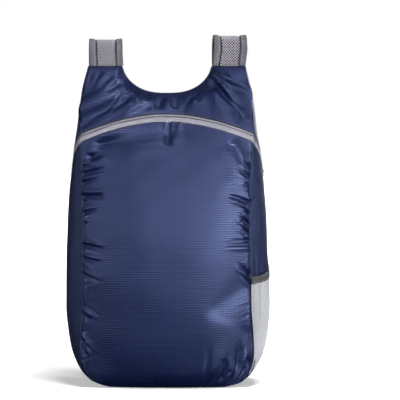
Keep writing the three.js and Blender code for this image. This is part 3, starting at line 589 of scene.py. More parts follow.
    def folds(self, loop, z):
        """Folds, creases and pleats, as a height over the smooth shell."""
        form = self.form
        total = np.zeros_like(z)
        for row in FOLDS:
            aside, past, _ = self.from_line(loop, z, row)
            total += form.fold_depth * row[5] * bell(np.hypot(aside, past) / (form.fold_width * row[4]))
        for row in CREASES:
            aside, past, share = self.from_line(loop, z, row)
            wide = form.crease_width * row[4]
            valley = bell(np.hypot(aside, past) / wide)
            ridge = bell(np.hypot(aside - 1.9 * wide, past) / (1.4 * wide))
            total += form.crease_depth * row[5] * (1 - 0.75 * share) * (0.55 * ridge - valley)
        for wide, deep, places in RIDGES:
            aside, share = self.from_curve(loop, z, places)
            aside = aside / (form.fold_width * wide)
            taper = ease(share / 0.2 + 0.25) * ease((1 - share) / 0.3)
            total += form.fold_depth * deep * taper * (bell(aside) - 0.45 * bell((aside + 1.9) / 1.3))
        at = z / form.height
        for foot, head, top, deep in PLEATS:
            share = np.clip(at / top, 0, 1)
            aside = (loop - mix(foot, head, share)) * self.front_span
            wide = form.fold_width * mix(0.22, 0.42, share)
            shape = 0.6 * bell((aside - 2 * wide) / (1.3 * wide)) - bell(aside / wide)
            total += form.fold_depth * deep * ease(2.2 * (1 - share)) * shape
        return total

    def gathers(self, loop, z):
        """The small puckers that the stitching pulls into the cloth along its seams."""
        m = np.abs(loop)
        aside = (1 - m) * self.front_span
        swing = 0.55 + 0.45 * np.sin(z * 61 + loop * 1.7)
        below = ease((self.zip_height(loop) - z) / 0.03)
        tilt = z + 0.35 * aside * np.sign(loop)
        total = puckers(tilt, aside, SEAM_PUCKERS) * swing * (m <= 1) * below
        along = loop * self.front_span
        under = self.zip_height(loop) - self.form.tape_below - z
        middle = 0.5 + 0.5 * bell(loop / 0.55)
        total += puckers(along, under, ZIP_PUCKERS) * ease(under / 0.004 + 1) * middle
        total += puckers(along, z, FOOT_PUCKERS) * (m < 1)
        return total + self.pocket_gathers(loop, z)

    def pocket_gathers(self, loop, z):
        """The folds that the pocket's elastic pulls into the side above it."""
        high, reach = 0.0026, 0.016
        over = z - self.pocket_top(loop) - 0.0105
        columns = pinch((loop - 1.072) / 0.093 + 0.06 * np.sin(loop * 23))
        side = (loop > 1) & (loop < 2)
        return high * side * columns * ease(over / 0.01 + 1) * np.exp(-np.maximum(over, 0) / reach)

    def seam_lines(self, loop, z):
        """The grooves of the seams and of the rows of stitching beside them."""
        form = self.form
        m = np.abs(np.where(loop > 3, loop - 6, loop))
        below = ease((self.zip_height(loop) - form.tape_below - z) / 0.004 + 0.5)
        front = np.where(m < 1, (1 - m) * self.front_span, (m - 1) * self.side_span)
        back = np.where(m < 2, (2 - m) * self.side_span, (m - 2) * self.front_span)
        total = -form.seam_groove * (below * bell(front / form.seam_width) + bell(back / form.seam_width))
        total -= 0.00045 * below * (m < 1) * bell((front - form.stitch_aside) / 0.0009)
        return total - 0.0004 * (m > 2) * bell((back - form.stitch_aside) / 0.0009)

    def relief(self, loop, z):
        """How far the sewn cloth stands out of the smooth shell."""
        soft = 0.0004 * np.sin(loop * 5.1 + z * 31) * np.sin(z * 47 - loop * 2.3)
        soft = soft + 0.0002 * np.sin(loop * 11.3 - z * 57) * np.sin(z * 83 + 1.3)
        total = self.folds(loop, z) + self.gathers(loop, z) + soft - self.pocket_dent(loop, z)
        x = self.smooth(loop, z)[..., 0]
        total = total * ease(self.below_top(x, z) / 0.018) * ease(0.4 + z / 0.006 * 0.6)
        return total + self.seam_lines(loop, z)

    def surface(self, loop, z, lift=0.0):
        """Places on the sewn shell, lifted off it by a distance."""
        loop, z = np.broadcast_arrays(np.asarray(loop, float), np.asarray(z, float))
        out = self.outward(loop, z)
        points = self.smooth(loop, z) + out * (self.relief(loop, z) + lift)[..., None]
        points[..., 2] = np.maximum(points[..., 2], 0)
        return points

    def trimmed(self, loops, z):
        """The loop coordinates of a grid, with its first and last columns moved in by half a seam gap."""
        loops = np.broadcast_to(loops, z.shape).copy()
        for column, way in ((0, 1), (-1, -1)):
            reach = 0.02
            ahead = self.smooth(loops[:, column] + reach, z[:, column])
            behind = self.smooth(loops[:, column] - reach, z[:, column])
            speed = np.linalg.norm(ahead - behind, axis=-1) / (2 * reach)
            loops[:, column] += way * self.form.seam_gap / 2 / speed
        return loops


def link(name, mesh, material):
    """A finished mesh as a piece that rides on the bag, with the given material."""
    piece = bpy.data.objects.new(name, mesh)
    bpy.context.scene.collection.objects.link(piece)
    mesh.materials.clear()
    mesh.materials.append(material)
    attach(piece, "root")
    return piece


def face_outwards(mesh):
    """Turns a closed mesh the right way out, by the sign of its volume."""
    corners = np.array([vertex.co for vertex in mesh.vertices])
    mesh.calc_loop_triangles()
    triangles = np.array([triangle.vertices for triangle in mesh.loop_triangles])
    a, b, c = (corners[triangles[:, i]] for i in range(3))
    if (a * np.cross(b, c)).sum() < 0:
        mesh.flip_normals()
    return mesh


def grid_faces(rows, columns, start=0, closed=False):
    """Quads between the points of a grid, closed round its columns where asked."""
    j, i = np.meshgrid(np.arange(rows - 1), np.arange(columns if closed else columns - 1), indexing="ij")
    ahead = (i + 1) % columns
    row, above = j * columns, (j + 1) * columns
    return np.stack([row + i, row + ahead, above + ahead, above + i], -1).reshape(-1, 4) + start


def add_place(mesh, place):
    """Keeps each point's place on its cloth, in metres, for the weave to follow."""
    attribute = mesh.attributes.new("cloth_place", "FLOAT_VECTOR", "POINT")
    attribute.data.foreach_set("vector", np.asarray(place, np.float32).ravel())


def slab_mesh(name, outer, inner, place):
    """A closed thin solid between two grids of points, which meet round their four edges."""
    rows, columns = outer.shape[:2]
    count = rows * columns
    top = grid_faces(rows, columns)
    bottom = grid_faces(rows, columns, start=count)[:, ::-1]
    ring = np.concatenate([
        np.arange(columns),
        np.arange(1, rows) * columns + columns - 1,
        (rows - 1) * columns + np.arange(columns - 2, -1, -1),
        np.arange(rows - 2, 0, -1) * columns,
    ])
    ahead = np.roll(ring, -1)
    wall = np.stack([ring, ring + count, ahead + count, ahead], -1)
    mesh = bpy.data.meshes.new(name)
    points = np.concatenate([outer.reshape(-1, 3), inner.reshape(-1, 3)])
    mesh.from_pydata(points.tolist(), [], np.concatenate([top, bottom, wall]).tolist())
    add_place(mesh, np.concatenate([place.reshape(-1, 3)] * 2))
    mesh.polygons.foreach_set("use_smooth", [True] * len(top) * 2 + [False] * len(wall))
    mesh.update()
    return face_outwards(mesh)


def cloth_place(points, loops, seam_distance, level):
    """Distances across and up the cloth, from its middle column and a level row."""
    u = running(spans(points[..., :2], 1), 1)
    middle = np.argmin(np.abs(loops - (loops[0] + loops[-1]) / 2))
    u = u - u[:, middle:middle + 1]
    v = running(spans(points) * np.sign(np.diff(points[..., 2], axis=0) + 1e-9))
    for i in range(points.shape[1]):
        v[:, i] += level - np.interp(level, points[:, i, 2], v[:, i])
    return np.stack([u, v, seam_distance], axis=-1)


def edge_distance(points):
    """The distance of each grid point from the nearest edge of its grid, roughly."""
    u, v = running(spans(points, 1), 1), running(spans(points))
    return np.minimum(np.minimum(u, u[:, -1:] - u), np.minimum(v, v[-1:] - v))


def panel_mesh(shell, settings, name, loops, low, high, rise):
    """One sewn panel of the shell, from a lower to an upper edge."""
    tall = float(np.max(high(loops) - low(loops)))
    shares = graded(0, tall, rise, settings.fine_step, settings.fine_width) / tall
    z = mix(low(loops)[None, :], high(loops)[None, :], shares[:, None])
    grid = shell.trimmed(loops, z)
    outer = shell.surface(grid, z)
    inner = shell.surface(grid, z, -shell.form.cloth)
    place = cloth_place(outer, loops, edge_distance(outer), shell.form.height * 0.45)
    return slab_mesh(name, outer, inner, place)


def loops_between(shell, start, end, settings, ends=(True, True)):
    """Loop coordinates a mesh step apart, closer together beside the chosen ends."""
    span, fine = shell.front_span, settings.fine_step
    return graded(start * span, end * span, settings.step, fine, settings.fine_width, ends) / span


def feed(tree, socket, value):
    """Links a socket or Value to an input, or sets a plain value on it."""
    source = getattr(value, "socket", value)
    if isinstance(source, bpy.types.NodeSocket):
        tree.links.new(source, socket)
    else:
        socket.default_value = source


def add_node(tree, kind, settings=None, inputs=None):
    """A node with its settings, then the values or links of its inputs."""
    node = tree.nodes.new(kind)
    for key, value in (settings or {}).items():
        setattr(node, key, value)
    for key, value in (inputs or {}).items():
        feed(tree, node.inputs[key], value)
    return node


class Graph:
    """A material's nodes, built from Python expressions."""

    def __init__(self, name):
        self.material = bpy.data.materials.new(name)
        self.material.use_nodes = True
        self.tree = self.material.node_tree
        self.shader = self.tree.nodes["Principled BSDF"]

    def add(self, kind, settings=None, inputs=None, output=0):
        return Value(self, add_node(self.tree, kind, settings, inputs).outputs[output])

    def place(self):
        """The three numbers of a point's place on its cloth."""
        node = self.add("ShaderNodeAttribute", {"attribute_name": "cloth_place"}, output="Vector")
        return self.split(node)

    def split(self, vector):
        split = self.add("ShaderNodeSeparateXYZ", inputs={"Vector": vector}).socket.node
        return [Value(self, output) for output in split.outputs]

    def object_place(self):
        return self.add("ShaderNodeTexCoord", output="Object")

    def join(self, x, y, z):
        return self.add("ShaderNodeCombineXYZ", inputs={"X": x, "Y": y, "Z": z})

    def noise(self, vector, scale, detail=2.0):
        return self.add("ShaderNodeTexNoise", inputs={"Vector": vector, "Scale": scale, "Detail": detail})

    def blend(self, share, a, b):
        """A colour from a to b by a share."""
        node = add_node(self.tree, "ShaderNodeMix", {"data_type": "RGBA"}, {0: share})
        for socket, value in zip([socket for socket in node.inputs if socket.type == "RGBA"], (a, b)):
            feed(self.tree, socket, value)
        return Value(self, next(socket for socket in node.outputs if socket.type == "RGBA"))

    def fuzz(self, u, v):
        """The fine fibres of a tape."""
        return self.noise(self.join(u, v, 0.0), 420.0, 3.0)

    def tape(self, tint, dark, light, tone, relief, fuzz, rough, depth=0.0003):
        """The finish of a tape: its tint made dark to light by a tone, a relief with fibres, and a sheen."""
        base = self.blend(tone.clamped(), shade(tint, dark), shade(tint, light))
        normal = self.bump(relief + fuzz * 0.5, depth)
        return self.finish(base, rough + (fuzz - 0.5) * 0.1, normal, Sheen_Weight=0.2)

    def bump(self, height, distance):
        return self.add("ShaderNodeBump", inputs={"Height": height, "Distance": distance, "Strength": 1.0},
                        output="Normal")

    def finish(self, base, roughness, normal=None, **constants):
        feed(self.tree, self.shader.inputs["Base Color"], base)
        feed(self.tree, self.shader.inputs["Roughness"], roughness)
        if normal is not None:
            feed(self.tree, self.shader.inputs["Normal"], normal)
        for name, value in constants.items():
            self.shader.inputs[name.replace("_", " ")].default_value = value
        return self.material


class Value:
    """A socket whose operators add Math nodes."""

    def __init__(self, graph, socket):
        self.graph = graph
        self.socket = socket

    def math(self, operation, *values):
        return self.graph.add("ShaderNodeMath", {"operation": operation}, dict(enumerate(values)))

    def __add__(self, other):
        return self.math("ADD", self, other)

    def __mul__(self, other):
        return self.math("MULTIPLY", self, other)

    def __sub__(self, other):
        return self.math("SUBTRACT", self, other)

    def __rsub__(self, other):
        return self.math("SUBTRACT", other, self)

    def __truediv__(self, other):
        return self.math("DIVIDE", self, other)

    def __pow__(self, other):
        return self.math("POWER", self, other)

    __radd__ = __add__
    __rmul__ = __mul__

    def sine(self):
        return self.math("SINE", self)

    def wave(self, pitch):
        """From 0 to 1 and back, once in each pitch."""
        return (self * (2 * math.pi / pitch)).sine() * 0.5 + 0.5

    def size(self):
        return self.math("ABSOLUTE", self)

    def larger(self, other):
        return self.math("MAXIMUM", self, other)

    def clamped(self):
        return self.math("MINIMUM", self.math("MAXIMUM", self, 0.0), 1.0)


def shade(colour_value, factor):
    """A colour made lighter or darker, with its alpha."""
    return tuple(min(channel * factor, 1.0) for channel in colour_value) + (1.0,)


def ripstop_cloth(settings):
    """Thin glossy cloth with a grid of thicker yarns, and painted shade along its edges."""
    graph = Graph("ripstop cloth")
    u, v, seam = graph.place()
    grid = u.wave(settings.grid_width) ** 5 * 0.6
    grid = grid.larger(v.wave(settings.grid_height) ** 4)
    weave = u.wave(settings.yarn) * v.wave(settings.yarn)
    mottle = graph.noise(graph.join(u, v, 0.0), 38.0, 3.0)
    # Painted shade: the cloth is darker within about 2 mm of each edge, as shade in the seams, under the zip
    # tape and at the neckline.
    sewn = (1.3 - seam * 550).clamped()
    tone = (0.66 - grid * 0.62 + weave * 0.1 + (mottle - 0.5) * 0.35 - sewn * 0.6).clamped()
    base = graph.blend(tone, shade(settings.front_colour, 0.25), shade(settings.front_colour, 1.55))
    normal = graph.bump(grid * 0.8 + weave * 0.05, 0.00028)
    rough = 0.27 + mottle * 0.06 + grid * 0.15
    return graph.finish(base, rough, normal, Specular_Tint=(0.42, 0.52, 1.0, 1.0), Specular_IOR_Level=1.0)


def plain_cloth(settings):
    """Smooth plain weave with fine upright yarns."""
    graph = Graph("side cloth")
    tint = settings.side_colour
    u, v, seam = graph.place()
    weave = u.wave(settings.yarn) * 0.7 + v.wave(settings.yarn * 1.3) * 0.3
    slub = graph.noise(graph.join(u * 12, v, 0.0), 90.0, 2.0)
    mottle = graph.noise(graph.join(u, v, 0.0), 30.0, 3.0)
    # Lighter within about 6 mm of each edge.
    edge_lightening = (1 - seam * 160).clamped()
    tone = (0.2 + weave * 0.25 + (slub - 0.5) * 0.4 + (mottle - 0.5) * 0.3 + edge_lightening * 0.12).clamped()
    base = graph.blend(tone, shade(tint, 0.72), shade(tint, 1.5))
    normal = graph.bump(weave * 0.6 + slub * 0.4, 0.00016)
    return graph.finish(base, 0.42 + mottle * 0.14, normal, Specular_Tint=(0.45, 0.55, 1.0, 1.0),
                        Specular_IOR_Level=0.6)


def twill(name, tint, pitch, slant=1.0, rough=0.78, depth=0.0003):
    """Woven tape with a slanting rib, along its own cloth place."""
    graph = Graph(name)
    u, v, _ = graph.place()
    rib = (u + v * slant).wave(pitch)
    cross = v.wave(pitch * 0.6)
    fuzz = graph.fuzz(u, v)
    tone = 0.2 + rib * 0.42 + cross * 0.14 + (fuzz - 0.5) * 0.6
    return graph.tape(tint, 0.62, 1.35, tone, rib * 0.7, fuzz, rough, depth)


def zip_tape(trim, form):
    """Knitted tape with painted shade in the groove over the closure and over its upper half, and stitches
    along its top.
    """
    graph = Graph("zip tape")
    u, v, _ = graph.place()
    rib = u.wave(0.0011)
    fuzz = graph.fuzz(u, v)
    # Painted shade: the whole upper tape is darker than the lower one.
    upper = (v / 0.0008 + 0.5).clamped()
    # Painted shade: a dark band in the groove over the closure, where the tapes meet.
    groove = (1 - (v - 0.0003).size() / 0.0009).clamped()
    sewn = ((v - form.tape_above + 0.0011) / 0.0004).clamped() * (u.wave(0.0031) * 0.7 + 0.3)
    tone = 0.74 + rib * 0.12 + (fuzz - 0.5) * 0.5 - upper * 0.22 - groove * 0.75 - sewn * 0.3
    return graph.tape(trim.tape_colour, 0.3, 1.3, tone, rib * 0.6, fuzz, 0.7)


def binding_tape(trim):
    """Mottled tape with painted shadow along its inner edge, a painted highlight on its ridge and painted
    shade in the groove along its stitches.
    """
    graph = Graph("binding")
    u, v, inside = graph.place()
    rib = (u + v * 0.8).wave(0.0012)
    fuzz = graph.fuzz(u, v)
    # Painted shadow: darkest within about 1 mm of the inner edge, where the binding meets the padded middle.
    line = (1 - inside / 0.0011).clamped()
    # Painted highlight: a pale band on the ridge about 2 mm in from the inner edge.
    ridge = (1 - (inside - 0.0022).size() / 0.0011).clamped()
    # Painted shade: a dark band in the groove along the stitches.
    groove = (1 - (inside - trim.binding * 0.72).size() / 0.0009).clamped()
    tone = 0.22 + rib * 0.36 + (fuzz - 0.5) * 1.1 - line * 0.8 + ridge * 0.3 - groove * 0.35
    return graph.tape(trim.binding_colour, 0.4, 1.6, tone, rib * 0.7, fuzz, 0.75)


def yarn(name, tint, rough=0.7, spread=0.3):
    """Thread and net yarn, a little uneven along its length."""
    graph = Graph(name)
    place = graph.object_place()
    uneven = graph.noise(place, 260.0, 2.0)
    base = graph.blend(uneven, shade(tint, 1 - spread), shade(tint, 1 + spread))
    fibre = graph.noise(place, 2600.0, 1.0)
    return graph.finish(base, rough + (fibre - 0.5) * 0.15, graph.bump(fibre, 0.0001), Sheen_Weight=0.25)


def moulded(name, tint, rough=0.38):
    """Moulded plastic with a fine grain, paler where it is rubbed."""
    graph = Graph(name)
    place = graph.object_place()
    grain = graph.noise(place, 900.0, 2.0)
    rub = graph.noise(place, 120.0, 3.0)
    base = graph.blend((rub * 1.6 - 0.5).clamped(), shade(tint, 0.85), shade(tint, 1.5))
    return graph.finish(base, rough + (rub - 0.5) * 0.2, graph.bump(grain, 0.00006))


class NodeTree:
    """A geometry node tree with named inputs, on an object as a modifier."""

    def __init__(self, name, inputs):
        self.tree = bpy.data.node_groups.new(name, "GeometryNodeTree")
        self.sockets = {}
        face = self.tree.interface
        face.new_socket("Geometry", in_out="INPUT", socket_type="NodeSocketGeometry")
        for label, kind in inputs.items():
            item = face.new_socket(label, in_out="INPUT", socket_type=kind)
            self.sockets[label] = item.identifier
        face.new_socket("Geometry", in_out="OUTPUT", socket_type="NodeSocketGeometry")
        self.source = self.tree.nodes.new("NodeGroupInput")

    def input(self, label):
        return self.source.outputs[label]

    def add(self, kind, settings=None, inputs=None):
        return add_node(self.tree, kind, settings, inputs)

    def finish(self, geometry):
        realized = self.add("GeometryNodeRealizeInstances", inputs={"Geometry": geometry})
        painted = self.add("GeometryNodeSetMaterial", inputs={
            "Geometry": realized.outputs[0], "Material": self.input("Material")})
        output = self.tree.nodes.new("NodeGroupOutput")
        self.tree.links.new(painted.outputs[0], output.inputs[0])
        return self

    def make(self, name, lines, values):
        """The tree's result on a set of lines, as a plain mesh."""
        points, edges, start = [], [], 0
        for line in lines:
            points.extend(np.asarray(line).tolist())
            edges.extend((start + i, start + i + 1) for i in range(len(line) - 1))
            start += len(line)
        mesh = bpy.data.meshes.new(name)
        mesh.from_pydata(points, edges, [])
        carrier = bpy.data.objects.new(name + "_lines", mesh)
        bpy.context.scene.collection.objects.link(carrier)
        modifier = carrier.modifiers.new("Repeat", "NODES")
        modifier.node_group = self.tree
        for label, value in values.items():
            modifier[self.sockets[label]] = value
        depsgraph = bpy.context.evaluated_depsgraph_get()
        result = bpy.data.meshes.new_from_object(carrier.evaluated_get(depsgraph))
        bpy.data.objects.remove(carrier)
        if len(result.polygons) == 0:
            raise RuntimeError(f"{name} came out empty")
        return result


def stitch_tree():
    """Stitches set along lines, each a short rounded length of thread."""
    tree = NodeTree("Stitches", {
        "Spacing": "NodeSocketFloat",
        "Stitch": "NodeSocketFloat",
        "Thread": "NodeSocketFloat",
        "Material": "NodeSocketMaterial",
    })
    curve = tree.add("GeometryNodeMeshToCurve", inputs={"Mesh": tree.input("Geometry")})
    spaced = tree.add("GeometryNodeResampleCurve", {"mode": "LENGTH"}, {
        "Curve": curve.outputs[0], "Length": tree.input("Spacing")})
    ball = tree.add("GeometryNodeMeshUVSphere", inputs={"Segments": 6, "Rings": 4, "Radius": 1.0})
    half = tree.add("ShaderNodeMath", {"operation": "MULTIPLY"}, {0: tree.input("Stitch"), 1: 0.5})
    size = tree.add("ShaderNodeCombineXYZ", inputs={
        "X": tree.input("Thread"), "Y": tree.input("Thread"), "Z": half.outputs[0]})
    thread = tree.add("GeometryNodeTransform", inputs={
        "Geometry": ball.outputs["Mesh"], "Scale": size.outputs[0]})
    smooth = tree.add("GeometryNodeSetShadeSmooth", inputs={"Geometry": thread.outputs[0]})
    tangent = tree.add("GeometryNodeInputTangent")
    turn = tree.add("FunctionNodeAlignRotationToVector", {"axis": "Z"}, {"Vector": tangent.outputs[0]})
    placed = tree.add("GeometryNodeInstanceOnPoints", inputs={
        "Points": spaced.outputs[0], "Instance": smooth.outputs[0], "Rotation": turn.outputs[0]})
    return tree.finish(placed.outputs["Instances"])


def net_tree():
    """Round yarn along lines, closed at its ends."""
    tree = NodeTree("Yarn net", {"Yarn": "NodeSocketFloat", "Material": "NodeSocketMaterial"})
    curve = tree.add("GeometryNodeMeshToCurve", inputs={"Mesh": tree.input("Geometry")})
    ring = tree.add("GeometryNodeCurvePrimitiveCircle", {"mode": "RADIUS"}, {
        "Resolution": 4, "Radius": tree.input("Yarn")})
    tube = tree.add("GeometryNodeCurveToMesh", inputs={
        "Curve": curve.outputs[0], "Profile Curve": ring.outputs[0], "Fill Caps": True})
    smooth = tree.add("GeometryNodeSetShadeSmooth", inputs={"Geometry": tube.outputs[0]})
    return tree.finish(smooth.outputs[0])


def diagonal_lines(wide, tall, cell, rise, step):
    """Two families of slanting lines over a rectangle, as lists of (across, up, over) with over +1 or -1."""
    lines = []
    run = wide * rise / cell
    for way in (1, -1):
        start = -run
        while start < tall:
            share = np.linspace(0, 1, max(int(math.hypot(wide, run) / step), 2) + 1)
            across = share * wide if way > 0 else (1 - share) * wide
            up = start + share * run
            keep = (up >= 0) & (up <= tall)
            if keep.sum() > 1:
                over = way * np.cos(2 * np.pi * up / rise + np.pi * across / cell)
                lines.append(np.stack([across, up, over], axis=-1)[keep])
            start += rise
    return lines


def centripetal(points, per_span):
    """A smooth curve through points, with its speed eased by the root of the spacing."""
    points = np.asarray(points, float)
    first, last = 2 * points[0] - points[1], 2 * points[-1] - points[-2]
    guide = np.vstack([first, points, last])
    gap = np.maximum(spans(guide) ** 0.5, 1e-4)
    curve = [points[:1]]
    t = np.linspace(0, 1, per_span + 1)[1:, None]
    for i in range(len(points) - 1):
        p0, p1, p2, p3 = guide[i:i + 4]
        d0, d1, d2 = gap[i:i + 3]
        into = ((p1 - p0) / d0 - (p2 - p0) / (d0 + d1) + (p2 - p1) / d1) * d1
        out = ((p2 - p1) / d1 - (p3 - p1) / (d1 + d2) + (p3 - p2) / d2) * d1
        curve.append(p1 + into * t + (3 * (p2 - p1) - 2 * into - out) * t ** 2
                     + (2 * (p1 - p2) + into + out) * t ** 3)
    return np.vstack(curve)


class Path:
    """A curve in the depth of the bag, read by the share of its length, with its width along X."""

    def __init__(self, points):
        self.points = np.asarray(points, float)
        self.run = running(spans(self.points))
        self.length = self.run[-1]

    def at(self, share):
        return np.stack([np.interp(np.asarray(share) * self.length, self.run, self.points[:, i])
                         for i in range(3)], axis=-1)

    def along(self, share):
        share, reach = np.asarray(share), 0.001 / self.length
        return unit(self.at(np.minimum(share + reach, 1)) - self.at(np.maximum(share - reach, 0)))

    def out(self, share):
        return unit(np.cross(self.along(share), ACROSS))


def sweep_mesh(name, path, shares, outlines, mark=None):
    """A closed solid along a path. outlines holds one ring of (side, out) points for each share, and mark a
    third number for the cloth place of each."""
    place, out = path.at(shares), path.out(shares)
    points = place[:, None, :] + outlines[..., 0:1] * ACROSS + outlines[..., 1:2] * out[:, None, :]
    rows, count = points.shape[:2]
    quads = grid_faces(rows, count, closed=True).tolist()
    caps = [list(range(count))[::-1], list(range((rows - 1) * count, rows * count))]
    mesh = bpy.data.meshes.new(name)
    mesh.from_pydata(points.reshape(-1, 3).tolist(), [], quads + caps)
    up = np.broadcast_to((shares * path.length)[:, None], (rows, count))
    add_place(mesh, np.stack([outlines[..., 0], up, outlines[..., 1] if mark is None else mark], axis=-1))
    mesh.polygons.foreach_set("use_smooth", [True] * len(quads) + [False] * 2)
    mesh.update()
    return face_outwards(mesh)


def soft_outline(start, end, thickness, count=28, square=5.0):
    """A flat ring of points with rounded edges between two sides."""
    angle = 2 * np.pi * (np.arange(count) + 0.5) / count
    middle, half = (start + end) / 2, abs(end - start) / 2
    power = 2 / square
    side = middle + half * np.sign(np.cos(angle)) * np.abs(np.cos(angle)) ** power
    out = thickness / 2 * np.sign(np.sin(angle)) * np.abs(np.sin(angle)) ** power
    return np.stack([side, out], axis=-1)


class Strap:
    """One shoulder strap's middle line and width."""

    def __init__(self, shell, trim, buckle, name):
        form = shell.form
        self.way = SIDES[name]
        self.trim = trim
        self.buckle = buckle
        rise = trim.rise * STRAP_RISES[name]
        tab_half = shell.smooth(1.0, form.height)[0]
        self.middle = self.way * (shell.neck_half + tab_half) / 2
        arch_height = form.height + rise - trim.arch - trim.thickness / 2
        splay = trim.set * 1.8 + self.way * trim.splay
        points = [
            (self.middle + trim.set, form.top_set_back, form.height - trim.root),
            (self.middle + (trim.set + splay) / 2, form.top_set_back, (form.height + arch_height) / 2),
        ]
        for turn in np.linspace(np.pi, 0, 7):
            back = (1 + math.cos(turn)) / 2
            x = self.middle + splay - trim.lean * back
            y = form.top_set_back + 2 * trim.arch * back
            points.append((x, y, arch_height + trim.arch * math.sin(turn)))
        for drop, out, spread in HANG:
            y = form.top_set_back + 2 * trim.arch + trim.bow * out
            x = self.middle + self.way * trim.width * spread + (splay - trim.lean) * (1 - drop)
            points.append((x, y, mix(arch_height, trim.end, drop)))
        self.path = Path(centripetal(points, 24))

    def half(self, share):
        return mix(self.trim.width, self.buckle.width, ease((share - 0.68) / 0.32)) / 2

    def stitch_line(self, share):
        """How far the binding's stitches lie from the strap's middle."""
        return self.half(share) - self.trim.binding * 0.28

    def curled(self, share, side):
        """How far the strap's edges curl outwards, away from the shoulder."""
        strength = ease(share * self.path.length / 0.04) * ease((1 - share) / 0.2)
        return -self.trim.curl * strength * (side / self.half(share)) ** 2

    def place(self, share, side, lift):
        """Points on the strap, a side distance from its middle and a lift off its middle layer."""
        lift = lift + self.curled(share, side)
        return self.path.at(share) + side[:, None] * ACROSS + lift[:, None] * self.path.out(share)


def rounded_plate(name, width, height, thickness, corner, holes=(), bevel=0.0005):
    """A flat moulded plate with rounded corners and edges, and rectangular holes, lying in its own XY."""
    curve = bpy.data.curves.new(name, "CURVE")
    curve.dimensions = "2D"
    curve.fill_mode = "BOTH"
    curve.extrude = thickness / 2 - bevel
    curve.bevel_depth = bevel
    curve.bevel_resolution = 3
    curve.offset = -bevel
    outlines = [(0, 0, width, height, corner)] + [(x, y, w, h, min(w, h) * 0.3) for x, y, w, h in holes]
    for x, y, wide, tall, radius in outlines:
        points = []
        for quarter in range(4):
            sx, sy = ((1, 1), (-1, 1), (-1, -1), (1, -1))[quarter]
            centre = (x + sx * (wide / 2 - radius), y + sy * (tall / 2 - radius))
            for i in range(6):
                angle = (quarter + i / 5) * math.pi / 2
                points.append((centre[0] + radius * math.cos(angle), centre[1] + radius * math.sin(angle)))
        spline = curve.splines.new("POLY")
        spline.points.add(len(points) - 1)
        spline.points.foreach_set("co", [c for px, py in points for c in (px, py, 0, 1)])
        spline.use_cyclic_u = True
    carrier = bpy.data.objects.new(name + "_outline", curve)
    bpy.context.scene.collection.objects.link(carrier)
    mesh = bpy.data.meshes.new_from_object(carrier.evaluated_get(bpy.context.evaluated_depsgraph_get()))
    bpy.data.objects.remove(carrier)
    return mesh


def joined(name, parts):
    """Several meshes as one, with each part's doubled points merged and its faces turned outwards."""
    whole = bmesh.new()
    for mesh, matrix in parts:
        part = bmesh.new()
        part.from_mesh(mesh)
        part.transform(matrix)
        bmesh.ops.remove_doubles(part, verts=part.verts, dist=1e-6)
        bmesh.ops.recalc_face_normals(part, faces=part.faces)
        copy = bpy.data.meshes.new("part")
        part.to_mesh(copy)
        part.free()
        whole.from_mesh(copy)
        bpy.data.meshes.remove(copy)
    result = bpy.data.meshes.new(name)
    whole.to_mesh(result)
    whole.free()
    return result


def basis(x, y, z, origin):
    """The matrix whose axes are three directions at a place."""
    matrix = Matrix.Identity(4)
    for i, axis in enumerate((x, y, z, origin)):
        for j in range(3):
            matrix[j][i] = axis[j]
    return matrix


class PieceOperator:
    """What every operator of the bag shares."""

    bl_options = {"REGISTER", "UNDO"}

    def execute(self, context):
        self.scene = context.scene
        self.shell = Shell(context.scene.bag_form)
        self.build()
        return {"FINISHED"}


class BACKPACK_OT_cloth(PieceOperator, bpy.types.Operator):
    """Sew the front, yoke, sides, back and base"""

    bl_idname = "backpack.cloth"
    bl_label = "Cloth panels"

    def build(self):
        shell, settings = self.shell, self.scene.bag_cloth
        ripstop = (ripstop_cloth(settings), "ripstop", settings.rise)
        plain = (plain_cloth(settings), "plain_weave", settings.plain_rise)
        floor = np.zeros_like
        for name, node, cloth, start, end, low, high in (
            ("front_cloth", "front_panel", ripstop, -1, 1, floor, shell.under_zip),
            ("yoke_cloth", "yoke", ripstop, -2, 2, shell.over_zip, shell.top_height),
            ("side_cloth_left", "side_panel_left", plain, -2, -1, floor, shell.under_zip),
            ("side_cloth_right", "side_panel_right", plain, 1, 2, floor, shell.under_zip),
            ("back_cloth", "back_panel", plain, 2, 4, floor, shell.top_height),
        ):
            material, slot, rise = cloth
            loops = loops_between(shell, start, end, settings)
            mesh = panel_mesh(shell, settings, name, loops, low, high, rise)
            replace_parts(link(name, mesh, material), node)
        material, slot, _ = plain
        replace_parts(link("base_cloth", self.base_mesh(), material), "base_panel")

    def base_mesh(self):
        """The flat base inside the ring of the panels' lower edges, with a stiffened welt round it."""
        shell, form = self.shell, self.shell.form
        around, rows, innermost = 144, 24, 0.06
        level = np.array([1.0, 1.0, 0])
        loops = np.linspace(0, 6, around + 1)[:-1]
        loops = np.where(loops > 3, loops - 6, loops)
        zero = np.zeros_like(loops)
        out = unit(shell.outward(loops, zero) * level)
        rim = (shell.surface(loops, zero) - out * (form.cloth + form.seam_gap)) * level
        shares = np.linspace(1, innermost, rows)
        rings = rim * shares[:, None, None]
        height = form.cloth - 0.0005 * bell((1 - shares) / 0.05)
        top = rings + height[:, None, None] * np.array([0, 0, 1.0])
        points = np.concatenate([rings.reshape(-1, 3), top.reshape(-1, 3)])
        size = rows * around
        here = np.arange(around)
        ahead = np.roll(here, -1)
        faces = grid_faces(rows, around, closed=True).tolist()
        faces += grid_faces(rows, around, start=size, closed=True)[:, ::-1].tolist()
        faces += np.stack([here, ahead, ahead + size, here + size], -1)[:, ::-1].tolist()
        faces += [(size - around + here).tolist(), (2 * size - around + here)[::-1].tolist()]
        mesh = bpy.data.meshes.new("base_cloth")
        mesh.from_pydata(points.tolist(), [], faces)
        add_place(mesh, np.stack([points[:, 0], points[:, 1], np.full(len(points), 0.02)], axis=-1))
        mesh.update()
        return face_outwards(mesh)


